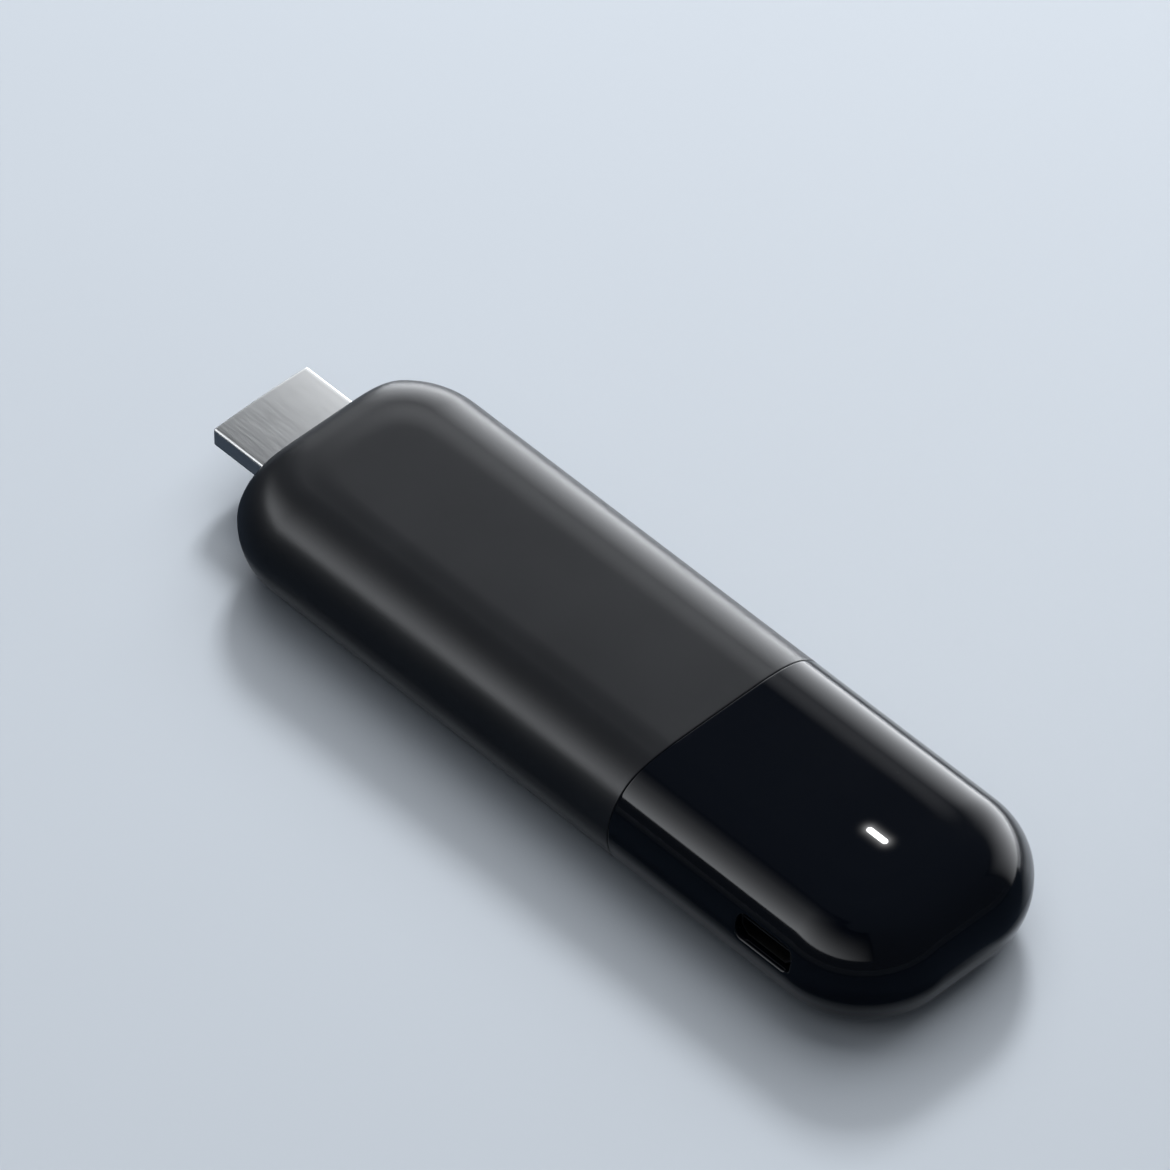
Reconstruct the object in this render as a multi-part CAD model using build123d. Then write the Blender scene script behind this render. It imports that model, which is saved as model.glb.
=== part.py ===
from build123d import *
import os

# Streaming stick: a matte sleeve and a gloss end cap around one circuit board, which carries a video
# plug at one end, a small power socket on one side and a status light under the cap's top.
# Millimetres. X runs from the plug to the far end, Y across the stick and Z up. The origin is under
# the middle of the whole length, on the surface that the stick lies on.

# Casing, outside
body_length = 100.5
body_width = 32.0
body_height = 15.0
side_band = 0.6
far_flat_corner = 4.4
plug_flat_corner = 4.4
plug_end_trim = 2.8
plug_end_rounding = 3.7
cap_length = 38.5

# Casing, inside
wall = 1.6
spigot_lap = 4.0
spigot_root = 3.0
spigot_wall = 1.0
spigot_gap = 0.1
rib_width = 1.0
rib_pitch = 4.6
ribs_each_side = 2
rib_room_above = 3.0
rib_room_below = 1.8

# Catches that hold the cap in the sleeve
catch_height = 0.4
catch_length = 1.2
catch_ramp = 0.5
catch_width = 4.0
catch_offset = 5.2
catch_gap = 0.1

# Video plug
plug_width = 13.9
plug_height = 4.45
plug_side_height = 2.6
plug_bottom_width = 10.6
plug_corner = 0.4
plug_lower_corner = 0.9
plug_metal = 0.3
plug_lip = 0.12
plug_reach = 9.3
plug_hole_gap = 0.15
plug_slot_width = 11.2
plug_slot_height = 2.1
plug_slot_depth = 9.0
plug_core_setback = 0.35
upper_contact_count = 10
lower_contact_count = 9
contact_pitch = 1.0
contact_width = 0.45
contact_thickness = 0.15
contact_setback = 1.2
contact_riser = 0.4
contact_tail = 2.2

# Collar that holds the plug behind the end wall
collar_length = 4.0
collar_side = 2.05
collar_rise = 1.775

# Tray that carries the board inside the sleeve
tray_gap = 0.2
tray_wall = 1.0
tray_ledge = 1.2
tray_lip = 0.8
tray_end_gap = 0.4
tray_foot_radius = 1.0
tray_foot_pitch = 20.0
tray_foot_offset = 6.0
boss_radius = 1.7

# Board
board_thickness = 1.0
board_gap = 0.15
tail_near_room = 0.6
tail_shift_room = 1.9
tail_end_room = 6.4

# Screws through the board into the tray
screw_radius = 0.7
screw_head_radius = 1.2
screw_head_height = 0.7
screw_length = 3.4
screw_hole_gap = 0.1
screw_recess_depth = 0.35
screw_recess_width = 0.3
screw_recess_length = 1.3
screw_side_inset = 3.25
screw_end_inset = 3.2

# Processor and memory, under the upper shield
chip_side = 14.0
chip_height = 1.2
memory_length = 8.0
memory_width = 8.6
memory_height = 0.9
memory_gap = 0.8
shield_gap = 1.0
shield_wall = 0.2
shield_height = 1.6
shield_place = 8.6
lid_thickness = 0.2
lid_skirt = 1.0
lid_gap = 0.05

# Storage, under the lower shield
storage_length = 13.0
storage_width = 11.5
storage_height = 1.0
storage_place = 20.0
lower_shield_gap = 2.0
lower_shield_height = 1.3

# Heat path
pad_inset = 1.5
spreader_gap = 0.3
upper_spreader_thickness = 1.2
lower_spreader_thickness = 1.0
spreader_end_room = 2.5
spreader_edge_room = 1.2
spreader_side_room = 3.4

# Small components, as length, width, height
surge_chip = (1.2, 2.6, 0.55)
surge_chip_pitch = 4.0
surge_chip_place = 5.0
crystal = (2.5, 3.2, 0.7)
crystal_place = 4.6
inductor = (2.5, 2.0, 1.2)
inductor_count = 3
inductor_pitch = 3.2
inductor_offset = 5.2
resistor = (1.0, 0.5, 0.35)
resistor_count = 5
resistor_pitch = 1.8
resistor_place = 14.0
edge_room = 0.45
capacitor = (0.6, 1.1, 0.55)
capacitor_pitch = 1.4
capacitor_row_pitch = 2.0
capacitor_columns = 4
capacitor_rows = 3
capacitor_room = 1.2
power_chip = (6.0, 6.0, 0.9)
power_chip_before_light = 5.6
power_chip_offset = 4.0

# Wireless module
module_side = 13.0
module_base = 0.6
module_before_light = 14.6
module_offset = 0.6
can_height = 1.5
can_wall = 0.2
can_edge = 0.4

# Status light
light_from_end = 14.3
light_length = 3.2
light_width = 0.95
light_slot_gap = 0.04
lamp = (1.6, 0.8, 0.6)
lamp_gap = 0.2
guide_stem_length = 2.2
guide_stem_width = 0.8
guide_flange_length = 5.2
guide_flange_width = 3.0
guide_flange_thickness = 0.8
baffle_wall = 0.6
baffle_gap = 0.2
guide_room = 0.4

# Power socket
port_from_end = 15.3
port_recess = 0.9
port_width = 7.5
port_bottom_width = 5.6
port_height = 2.5
port_side_height = 1.5
port_depth = 5.6
port_metal = 0.25
port_gap = 0.35
port_hole_corner = 1.1
port_block_depth = 1.8
tongue_width = 3.9
tongue_thickness = 0.6
tongue_setback = 0.8
tongue_drop = 0.45
port_contact_count = 5
port_contact_pitch = 0.65
port_contact_width = 0.35
port_contact_thickness = 0.12
port_contact_tail = 0.9

# Antennas at the far end
carrier_gap = 0.3
carrier_height = 2.6
carrier_lap = 2.0
antenna_thickness = 0.12
antenna_width = 1.2
antenna_start = 2.0
antenna_arm = 6.0
antenna_length = 5.2
antenna_setback = 0.8
spring_metal = 0.15
spring_width = 1.0
spring_foot = 1.4
spring_gap = 0.15
spring_tip = 1.4

# Levels and stations that follow from the sizes above
side_round = (body_height - side_band) / 2
flat_half = body_width / 2 - side_round
x_mouth = -(body_length + plug_reach) / 2
x_face = x_mouth + plug_reach
x_far = x_face + body_length
x_seam = x_far - cap_length
x_spigot = x_seam - spigot_lap
x_board = x_face + wall + collar_length
x_tray_end = x_spigot - tray_end_gap
x_tail = x_far - wall - tail_end_room
x_light = x_far - light_from_end
x_port = x_far - port_from_end
plug_z = body_height / 2
board_bottom = plug_z - board_thickness / 2
board_top = plug_z + board_thickness / 2
floor_z = wall
ceiling_z = body_height - wall
tray_inset = wall + tray_gap
tray_floor = tray_inset + tray_wall
spigot_inset = wall + spigot_gap
spigot_bore_inset = spigot_inset + spigot_wall
upper_spreader_z = ceiling_z - spreader_gap - upper_spreader_thickness
lower_spreader_top = tray_floor + lower_spreader_thickness
board_half = body_width / 2 - tray_inset - tray_wall - board_gap
tail_near_half = body_width / 2 - spigot_bore_inset - tail_near_room
tail_far_half = tail_near_half - tail_shift_room
shield_length = chip_side + memory_length + 3 * shield_gap + 2 * shield_wall
shield_width = max(chip_side, 2 * memory_width + memory_gap) + 2 * shield_gap + 2 * shield_wall
x_shield = x_board + shield_place
lower_shield_length = storage_length + 2 * lower_shield_gap + 2 * shield_wall
lower_shield_width = storage_width + 2 * lower_shield_gap + 2 * shield_wall
LOW = (Align.CENTER, Align.CENTER, Align.MIN)


def block(x_low, x_high, y_low, y_high, z_low, z_high):
    """Box between two corners."""
    size = Box(x_high - x_low, y_high - y_low, z_high - z_low, align=(Align.MIN, Align.MIN, Align.MIN))
    return Pos(x_low, y_low, z_low) * size


def across(x_low, x_high):
    """Slice of space between two stations along the stick."""
    return block(x_low, x_high, -body_width, body_width, -body_height, 2 * body_height)


def between(z_low, z_high):
    """Slice of space between two levels."""
    return block(-body_length, body_length, -body_width, body_width, z_low, z_high)


def seated(size, x, y, z):
    """Small part of the given size, standing on level z."""
    return Pos(x, y, z) * Box(*size, align=LOW)


def hung(size, x, y, z):
    """Small part of the given size, hanging from level z."""
    return Pos(x, y, z - size[2]) * Box(*size, align=LOW)


def plan(inset):
    """Casing's outline from above, before the plug end is trimmed, drawn in by inset."""
    x_low = x_face - plug_end_trim + inset
    x_high = x_far - inset
    outline = Pos((x_low + x_high) / 2, 0) * Rectangle(x_high - x_low, body_width - 2 * inset)
    rounding = side_round - inset
    outline = fillet(outline.vertices().sort_by(Axis.X)[2:], far_flat_corner + rounding)
    return fillet(outline.vertices().sort_by(Axis.X)[:2], plug_flat_corner + rounding)


def prism(inset, z_low, z_high):
    """Upright block with the casing's outline, drawn in by inset."""
    return Pos(0, 0, z_low) * extrude(plan(inset), z_high - z_low)


def casing_form(inset):
    """Casing's outer form drawn in by inset: rounded all round, and flat at the plug end."""
    solid = prism(inset, inset, body_height - inset)
    ends = solid.faces().sort_by(Axis.Z)
    solid = fillet(ends[0].edges() + ends[-1].edges(), side_round - inset)
    solid = solid & across(x_face + inset, x_far + wall)
    flat = solid.faces().sort_by(Axis.X)[0]
    return fillet(flat.edges(), max(plug_end_rounding - inset, plug_metal))


def plug_section(inset):
    """Video plug's outline in the YZ plane, centred on the plug, drawn in by inset."""
    half_width = plug_width / 2 - inset
    half_bottom = plug_bottom_width / 2 - inset / 2
    top = plug_height / 2 - inset
    shoulder = plug_height / 2 - plug_side_height
    points = [(-half_width, top), (half_width, top), (half_width, shoulder), (half_bottom, -top),
              (-half_bottom, -top), (-half_width, shoulder)]
    outline = make_face(Polyline(*points, close=True))
    corners = outline.vertices().sort_by(Axis.Y)
    outline = fillet(corners[-2:], max(plug_corner - inset, plug_lip))
    return fillet(outline.vertices().sort_by(Axis.Y)[:4], max(plug_lower_corner - inset, plug_lip))


def plug_bar(inset, x_low, x_high):
    """Bar with the plug's outline, drawn in by inset, between two stations."""
    section = Plane(origin=(x_low, 0, plug_z), x_dir=(0, 1, 0), z_dir=(1, 0, 0)) * plug_section(inset)
    return extrude(section, x_high - x_low)


def catches(extra):
    """Ramped catches above and below the spigot, grown by extra to make their pockets."""
    top = body_height - spigot_inset + catch_height + extra
    base = body_height - spigot_inset - spigot_wall / 2
    x_low = x_spigot + (spigot_lap - catch_length) / 2 - extra
    x_high = x_low + catch_length + 2 * extra
    points = [(x_low, base), (x_high, base), (x_high, top), (x_low + catch_ramp, top),
              (x_low, top - catch_height)]
    side = Plane.XZ * make_face(Polyline(*points, close=True))
    upper = extrude(side, catch_width / 2 + extra, both=True)
    lower = Pos(0, 0, body_height) * mirror(upper, Plane.XY)
    rows = [Pos(0, place, 0) * shape for shape in (upper, lower) for place in (-catch_offset, catch_offset)]
    return rows


def sleeve():
    """Matte sleeve: a cup with the plug's hole in its end wall and pockets for the cap's catches."""
    shell = casing_form(0) & across(x_face - wall, x_seam)
    shell -= casing_form(wall)
    shell -= plug_bar(-plug_hole_gap, x_face - wall, x_face + 2 * wall)
    for pocket in catches(catch_gap):
        shell -= pocket
    return shell


def rib_lines():
    """Places across the stick of the cap's ribs."""
    return [number * rib_pitch for number in range(-ribs_each_side, ribs_each_side + 1)]


def cap_ribs():
    """Ribs along the cap's floor and ceiling. The outer ones on the floor carry the board's tail."""
    ribs = []
    for y in rib_lines():
        is_rail = abs(y) == max(rib_lines())
        top = board_bottom if is_rail else board_bottom - rib_room_below
        ribs.append(block(x_spigot, x_far, y - rib_width / 2, y + rib_width / 2, 0, top))
        low = board_top + rib_room_above
        ribs.append(block(x_spigot, x_far, y - rib_width / 2, y + rib_width / 2, low, body_height))
    return ribs


def port_opening():
    """Opening through the cap's side wall around the power socket's mouth."""
    centre_z = board_top + port_height / 2
    outline = RectangleRounded(port_width + 2 * port_gap, port_height + 2 * port_gap, port_hole_corner)
    place = Plane(origin=(x_port, -body_width, centre_z), x_dir=(1, 0, 0), z_dir=(0, -1, 0))
    return extrude(place * outline, -(body_width / 2 + wall + port_recess))


def light_pill(grow, z_low, z_high):
    """Upright bar with the status light's rounded outline, grown by grow."""
    outline = SlotOverall(light_length + 2 * grow, light_width + 2 * grow)
    return Pos(x_light, 0, z_low) * extrude(outline, z_high - z_low)


def end_cap():
    """Gloss cap with the spigot that enters the sleeve, its ribs, the light slot and the port opening."""
    inside = casing_form(wall) & across(x_seam + spigot_root, x_far)
    bore = casing_form(spigot_bore_inset) & across(x_spigot - wall, x_seam + spigot_root)
    cap = casing_form(0) & across(x_seam, x_far)
    cap += casing_form(spigot_inset) & across(x_spigot, x_seam)
    for catch in catches(0):
        cap += catch & casing_form(spigot_inset - catch_height)
    cap -= inside
    cap -= bore
    guide_space = block(x_light - guide_flange_length / 2 - guide_room,
                        x_light + guide_flange_length / 2 + guide_room,
                        -guide_flange_width / 2 - guide_room, guide_flange_width / 2 + guide_room,
                        board_top, ceiling_z)
    rib_room = casing_form(spigot_inset) & across(x_spigot, x_seam)
    rib_room += casing_form(wall / 2) & across(x_seam, x_far)
    for rib in cap_ribs():
        cap += (rib & rib_room) - guide_space
    cap -= light_pill(light_slot_gap, ceiling_z - wall, body_height + wall)
    cap -= port_opening()
    return cap


def plug_shell():
    """Pressed metal shell of the video plug, with a softened mouth."""
    shell = plug_bar(0, x_mouth, x_board)
    mouth = shell.faces().sort_by(Axis.X)[0]
    shell = fillet(mouth.edges(), plug_lip)
    return shell - plug_bar(plug_metal, x_mouth - wall, x_board + wall)


def plug_contact(y, side):
    """One spring contact: along the slot, up or down to the board, and a tail on the board."""
    slot = side * plug_slot_height / 2
    face = side * board_thickness / 2
    leaf = side * contact_thickness
    x_front = x_mouth + contact_setback
    x_riser = x_mouth + plug_slot_depth + contact_riser
    levels = sorted((slot, slot - leaf))
    low_y = y - contact_width / 2
    high_y = y + contact_width / 2
    contact = block(x_front, x_riser, low_y, high_y, plug_z + levels[0], plug_z + levels[1])
    levels = sorted((face, slot))
    contact += block(x_riser - contact_riser, x_riser, low_y, high_y, plug_z + levels[0], plug_z + levels[1])
    levels = sorted((face, face + leaf))
    contact += block(x_riser - contact_riser, x_board + contact_tail, low_y, high_y,
                     plug_z + levels[0], plug_z + levels[1])
    return contact


def plug_contacts(count, side):
    """A row of the plug's contacts, centred across it."""
    return [plug_contact((number - (count - 1) / 2) * contact_pitch, side) for number in range(count)]


def plug_core():
    """Moulded core of the plug, with the slot that the mating tongue enters."""
    core = plug_bar(plug_metal, x_mouth + plug_core_setback, x_board)
    half = plug_slot_height / 2
    core -= block(x_mouth - wall, x_mouth + plug_slot_depth, -plug_slot_width / 2, plug_slot_width / 2,
                  plug_z - half, plug_z + half)
    for contact in plug_contacts(upper_contact_count, 1) + plug_contacts(lower_contact_count, -1):
        core -= contact
    return core


def plug_collar():
    """Collar around the plug's shell, held between the end wall and the board."""
    half_width = plug_width / 2 + collar_side
    half_height = plug_height / 2 + collar_rise
    collar = block(x_face, x_board, -half_width, half_width, plug_z - half_height, plug_z + half_height)
    collar = collar & casing_form(wall)
    return collar - plug_bar(0, x_face - wall, x_board + wall)


def screw_places():
    """Places of the board's screws."""
    stations = (x_board + screw_end_inset, x_tray_end - screw_end_inset)
    place = board_half - screw_side_inset
    return [(x, y) for x in stations for y in (-place, place)]


def board_tray():
    """Tray on the sleeve's floor: its ledges carry the board's edges, its bosses take the screws."""
    form = casing_form(tray_inset) & across(x_board, x_tray_end)
    tray = form & between(0, board_top + tray_lip)
    tray -= prism(tray_inset + tray_wall, board_bottom, body_height)
    pocket = casing_form(tray_floor) & prism(tray_floor + tray_ledge, tray_floor, board_bottom)
    tray -= pocket
    for x, y in screw_places():
        boss = Pos(x, y, tray_inset) * Cylinder(boss_radius, board_bottom - tray_inset, align=LOW)
        tray += boss & form
    for x, y in screw_places():
        hole = Cylinder(screw_radius + screw_hole_gap / 2, screw_length, align=LOW)
        tray -= Pos(x, y, board_top - screw_length - screw_hole_gap) * hole
    middle = (x_board + x_tray_end) / 2
    for x in (middle - tray_foot_pitch, middle, middle + tray_foot_pitch):
        for y in (-tray_foot_offset, tray_foot_offset):
            tray += Pos(x, y, floor_z) * Cylinder(tray_foot_radius, tray_gap, align=LOW)
    return tray


def main_board():
    """Circuit board: full width in the tray, and a narrower tail that reaches into the cap."""
    wide = prism(body_width / 2 - board_half, board_bottom, board_top) & across(x_board, x_tray_end)
    tail = block(x_tray_end, x_tail, -tail_near_half, tail_far_half, board_bottom, board_top)
    board = wide + (tail & prism(spigot_bore_inset + board_gap, board_bottom, board_top))
    for x, y in screw_places():
        board -= Pos(x, y, 0) * Cylinder(screw_radius + screw_hole_gap, body_height, align=LOW)
    return board


def board_screws():
    """Cross-head screws through the board into the tray's bosses."""
    screws = []
    for x, y in screw_places():
        screw = Pos(0, 0, -screw_length) * Cylinder(screw_radius, screw_length, align=LOW)
        screw += Cylinder(screw_head_radius, screw_head_height, align=LOW)
        recess = Box(screw_recess_length, screw_recess_width, 2 * screw_recess_depth)
        recess += Box(screw_recess_width, screw_recess_length, 2 * screw_recess_depth)
        screw -= Pos(0, 0, screw_head_height) * recess
        screws.append(Pos(x, y, board_top) * screw)
    return screws


def shield_frame(length, width, height, x, z):
    """Open frame soldered around a group of chips."""
    frame = seated((length, width, height), x, 0, z)
    return frame - seated((length - 2 * shield_wall, width - 2 * shield_wall, 3 * height), x, 0, z - height)


def shield_lid(length, width, x, z):
    """Lid that sits on a shield frame at level z, with a skirt down its sides."""
    outer = 2 * (shield_wall + lid_gap)
    lid = seated((length + outer, width + outer, lid_skirt + lid_thickness), x, 0, z - lid_skirt)
    return lid - seated((length + 2 * lid_gap, width + 2 * lid_gap, lid_skirt), x, 0, z - lid_skirt)


def flipped(shape):
    """The same shape turned over about the middle of the board's thickness."""
    return Pos(0, 0, 2 * plug_z) * mirror(shape, Plane.XY)


def top_chips(nodes):
    """Processor, memory, their shield, and the pads and plate that carry heat to the casing."""
    x_middle = x_shield + shield_length / 2
    x_chip = x_shield + shield_wall + shield_gap + chip_side / 2
    x_memory = x_chip + chip_side / 2 + shield_gap + memory_length / 2
    lid_z = board_top + shield_height
    nodes["system_chip"] = [seated((chip_side, chip_side, chip_height), x_chip, 0, board_top)]
    size = (memory_length, memory_width, memory_height)
    y = (memory_width + memory_gap) / 2
    nodes["memory_chips"] = [seated(size, x_memory, place, board_top) for place in (-y, y)]
    frame = shield_frame(shield_length, shield_width, shield_height, x_middle, board_top)
    nodes["upper_shield_frame"] = [frame]
    nodes["upper_shield_lid"] = [shield_lid(shield_length, shield_width, x_middle, lid_z)]
    size = (chip_side - pad_inset, chip_side - pad_inset, shield_height - chip_height)
    nodes["chip_pad"] = [seated(size, x_chip, 0, board_top + chip_height)]
    pad_z = lid_z + lid_thickness
    size = (shield_length - 2 * pad_inset, shield_width - 2 * pad_inset, upper_spreader_z - pad_z)
    nodes["upper_thermal_pad"] = [seated(size, x_middle, 0, pad_z)]
    half = body_width / 2 - wall - spreader_side_room
    plate = block(x_board + spreader_end_room, x_tray_end - spreader_end_room, -half, half,
                  upper_spreader_z, upper_spreader_z + upper_spreader_thickness)
    nodes["upper_heat_spreader"] = [plate & casing_form(wall + spreader_gap)]


def bottom_chips(nodes):
    """Storage chip, its shield, and the pad and plate that carry heat down to the tray."""
    x = x_board + storage_place
    size = (storage_length, storage_width, storage_height)
    nodes["storage_chip"] = [hung(size, x, 0, board_bottom)]
    frame = shield_frame(lower_shield_length, lower_shield_width, lower_shield_height, x, board_top)
    nodes["lower_shield_frame"] = [flipped(frame)]
    lid_z = board_top + lower_shield_height
    nodes["lower_shield_lid"] = [flipped(shield_lid(lower_shield_length, lower_shield_width, x, lid_z))]
    pad_top = board_bottom - lower_shield_height - lid_thickness
    size = (lower_shield_length - 2 * pad_inset, lower_shield_width - 2 * pad_inset,
            pad_top - lower_spreader_top)
    nodes["lower_thermal_pad"] = [seated(size, x, 0, lower_spreader_top)]
    half = flat_half - spreader_edge_room
    nodes["lower_heat_spreader"] = [block(x_board + spreader_end_room, x_tray_end - spreader_end_room,
                                          -half, half, tray_floor, lower_spreader_top)]


def capacitor_places(x_start):
    """Places of one block of capacitors, from a station on and centred across the board."""
    x_first = x_start + capacitor_room + capacitor[0] / 2
    return [(x_first + column * capacitor_pitch, (row - (capacitor_rows - 1) / 2) * capacitor_row_pitch)
            for column in range(capacitor_columns) for row in range(capacitor_rows)]


def small_parts(nodes):
    """Loose components soldered on both faces of the board."""
    nodes["surge_chips"] = [seated(surge_chip, x_board + surge_chip_place, row * surge_chip_pitch, board_top)
                            for row in (-1, 0, 1)]
    x_after = x_shield + shield_length + lid_gap + shield_wall
    x = x_after + capacitor_room + crystal[0] / 2
    nodes["crystal"] = [seated(crystal, x, crystal_place, board_top)]
    x = x_after + capacitor_room + inductor[0] / 2
    nodes["power_inductors"] = [seated(inductor, x + number * inductor_pitch, -inductor_offset, board_top)
                                for number in range(inductor_count)]
    nodes["upper_capacitors"] = [seated(capacitor, x, y, board_top) for x, y in capacitor_places(x_after)]
    x_after = x_board + storage_place + lower_shield_length / 2 + lid_gap + shield_wall
    nodes["lower_capacitors"] = [hung(capacitor, x, y, board_bottom) for x, y in capacitor_places(x_after)]
    x = x_board + resistor_place
    y = board_half - edge_room - resistor[1] / 2
    nodes["resistors"] = [seated(resistor, x + number * resistor_pitch, y, board_top)
                          for number in range(resistor_count)]
    x = x_light - power_chip_before_light
    nodes["power_chip"] = [hung(power_chip, x, -power_chip_offset, board_bottom)]


def wireless(nodes):
    """Wireless module and the can over it."""
    x = x_light - module_before_light
    y = -module_offset
    nodes["wireless_module"] = [seated((module_side, module_side, module_base), x, y, board_top)]
    side = module_side - 2 * can_edge
    z = board_top + module_base
    can = seated((side, side, can_height), x, y, z)
    inside = side - 2 * can_wall
    nodes["wireless_shield"] = [can - seated((inside, inside, can_height - can_wall), x, y, z)]


def status_light(nodes):
    """Lamp on the board, the guide that carries its light through the cap, and the baffle around it."""
    nodes["status_lamp"] = [seated(lamp, x_light, 0, board_top)]
    flange_z = ceiling_z - guide_flange_thickness
    stem_z = board_top + lamp[2] + lamp_gap
    guide = light_pill(0, ceiling_z, body_height)
    guide += seated((guide_flange_length, guide_flange_width, guide_flange_thickness), x_light, 0, flange_z)
    guide += seated((guide_stem_length, guide_stem_width, flange_z - stem_z), x_light, 0, stem_z)
    nodes["light_guide"] = [guide]
    room_length = guide_stem_length + 2 * baffle_gap
    room_width = guide_stem_width + 2 * baffle_gap
    baffle = seated((room_length + 2 * baffle_wall, room_width + 2 * baffle_wall, flange_z - board_top),
                    x_light, 0, board_top)
    nodes["light_baffle"] = [baffle - seated((room_length, room_width, 2 * body_height), x_light, 0, 0)]


def port_section(inset):
    """Power socket's outline in the XZ plane, drawn in by inset, its foot on the board."""
    half = port_width / 2 - inset
    half_bottom = port_bottom_width / 2 - inset / 2
    shoulder = port_height - port_side_height
    top = port_height - inset
    points = [(-half_bottom, inset), (half_bottom, inset), (half, shoulder), (half, top), (-half, top),
              (-half, shoulder)]
    return make_face(Polyline(*points, close=True))


def port_bar(inset, y_low, y_high):
    """Bar with the socket's outline, drawn in by inset, between two places across the stick."""
    place = Plane(origin=(x_port, y_low, board_top), x_dir=(1, 0, 0), z_dir=(0, -1, 0))
    return extrude(place * port_section(inset), -(y_high - y_low))


def port_contact(number):
    """One contact of the socket: under the tongue, down through the block and onto the board."""
    x = x_port + (number - (port_contact_count - 1) / 2) * port_contact_pitch
    low_x = x - port_contact_width / 2
    high_x = x + port_contact_width / 2
    y_mouth = -(body_width / 2 - port_recess)
    y_rear = y_mouth + port_depth
    y_drop = y_rear - port_block_depth / 2
    under = board_top + port_height - port_metal - tongue_drop - tongue_thickness
    leaf = port_contact_thickness
    contact = block(low_x, high_x, y_mouth + tongue_setback + leaf, y_drop + leaf, under - leaf, under)
    contact += block(low_x, high_x, y_drop, y_drop + leaf, board_top, under)
    contact += block(low_x, high_x, y_drop, y_rear + port_contact_tail, board_top, board_top + leaf)
    return contact


def power_port(nodes):
    """Power socket on the board's near edge: shell, tongue with its block, and contacts."""
    y_mouth = -(body_width / 2 - port_recess)
    y_rear = y_mouth + port_depth
    contacts = [port_contact(number) for number in range(port_contact_count)]
    shell = port_bar(0, y_mouth, y_rear) - port_bar(port_metal, y_mouth - wall, y_rear + wall)
    core = port_bar(port_metal, y_rear - port_block_depth, y_rear)
    x = x_port
    tongue_top = board_top + port_height - port_metal - tongue_drop
    core += block(x - tongue_width / 2, x + tongue_width / 2, y_mouth + tongue_setback, y_rear,
                  tongue_top - tongue_thickness, tongue_top)
    for contact in contacts:
        core -= contact
        shell -= contact
    nodes["power_port_shell"] = [shell]
    nodes["power_port_core"] = [core]
    nodes["power_port_contacts"] = contacts


def antennas(nodes):
    """Carrier over the board's tail, two bent antennas on it and the springs that feed them."""
    x_carrier = x_tail - carrier_lap
    top = board_top + carrier_height
    form = casing_form(wall + carrier_gap)
    nodes["antenna_carrier"] = [form & across(x_carrier, x_far) & between(board_top, top)]
    x_start = x_carrier + antenna_setback
    room = casing_form(wall + carrier_gap + antenna_setback)
    strips = []
    springs = []
    for side in (-1, 1):
        inner = sorted((side * antenna_start, side * (antenna_start + antenna_width)))
        outer = sorted((side * antenna_start, side * (antenna_start + antenna_arm)))
        strip = block(x_start, x_start + antenna_length, inner[0], inner[1], top, top + antenna_thickness)
        strip += block(x_start + antenna_length - antenna_width, x_start + antenna_length, outer[0], outer[1],
                       top, top + antenna_thickness)
        strips.append(strip & room)
        middle = side * (antenna_start + antenna_width / 2)
        low_y = middle - spring_width / 2
        high_y = middle + spring_width / 2
        x_riser = x_carrier - spring_gap - spring_metal
        rest = top + antenna_thickness
        spring = block(x_riser - spring_foot, x_riser, low_y, high_y, board_top, board_top + spring_metal)
        spring += block(x_riser, x_riser + spring_metal, low_y, high_y, board_top, rest + spring_metal)
        spring += block(x_riser, x_riser + spring_metal + spring_gap + spring_tip, low_y, high_y,
                        rest, rest + spring_metal)
        springs.append(spring)
    nodes["antennas"] = strips
    nodes["antenna_springs"] = springs


def make_nodes():
    """Every separate piece, by the name of its node."""
    nodes = {
        "sleeve": [sleeve()],
        "end_cap": [end_cap()],
        "plug_shell": [plug_shell()],
        "plug_core": [plug_core()],
        "plug_upper_contacts": plug_contacts(upper_contact_count, 1),
        "plug_lower_contacts": plug_contacts(lower_contact_count, -1),
        "plug_collar": [plug_collar()],
        "board_tray": [board_tray()],
        "main_board": [main_board()],
        "board_screws": board_screws(),
    }
    top_chips(nodes)
    bottom_chips(nodes)
    small_parts(nodes)
    wireless(nodes)
    status_light(nodes)
    power_port(nodes)
    antennas(nodes)
    return nodes


os.makedirs("parts", exist_ok=True)
for name, pieces in make_nodes().items():
    solids = [solid for piece in pieces for solid in piece.solids()]
    shape = solids[0] if len(solids) == 1 else Compound(solids)
    export_step(shape, "parts/" + name + ".step")
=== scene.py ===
import math

import bmesh
import bpy
import numpy as np
from bpy.props import FloatProperty, FloatVectorProperty, PointerProperty
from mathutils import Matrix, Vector


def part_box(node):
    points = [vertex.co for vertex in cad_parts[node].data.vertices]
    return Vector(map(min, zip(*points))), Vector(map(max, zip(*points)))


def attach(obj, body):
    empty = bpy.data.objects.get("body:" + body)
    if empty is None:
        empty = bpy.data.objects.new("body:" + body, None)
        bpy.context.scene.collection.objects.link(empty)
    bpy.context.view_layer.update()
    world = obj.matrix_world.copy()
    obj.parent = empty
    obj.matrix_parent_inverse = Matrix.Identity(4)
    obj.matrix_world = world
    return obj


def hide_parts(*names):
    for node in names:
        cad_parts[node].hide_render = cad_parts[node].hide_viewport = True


bl_info = {
    "name": "Streaming stick",
    "version": (1, 0, 0),
    "blender": (4, 5, 0),
    "location": "View3D > Sidebar > Stick",
    "description": "Dresses the streaming stick's fixed frame and sets its stage",
    "category": "Object",
}

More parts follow.
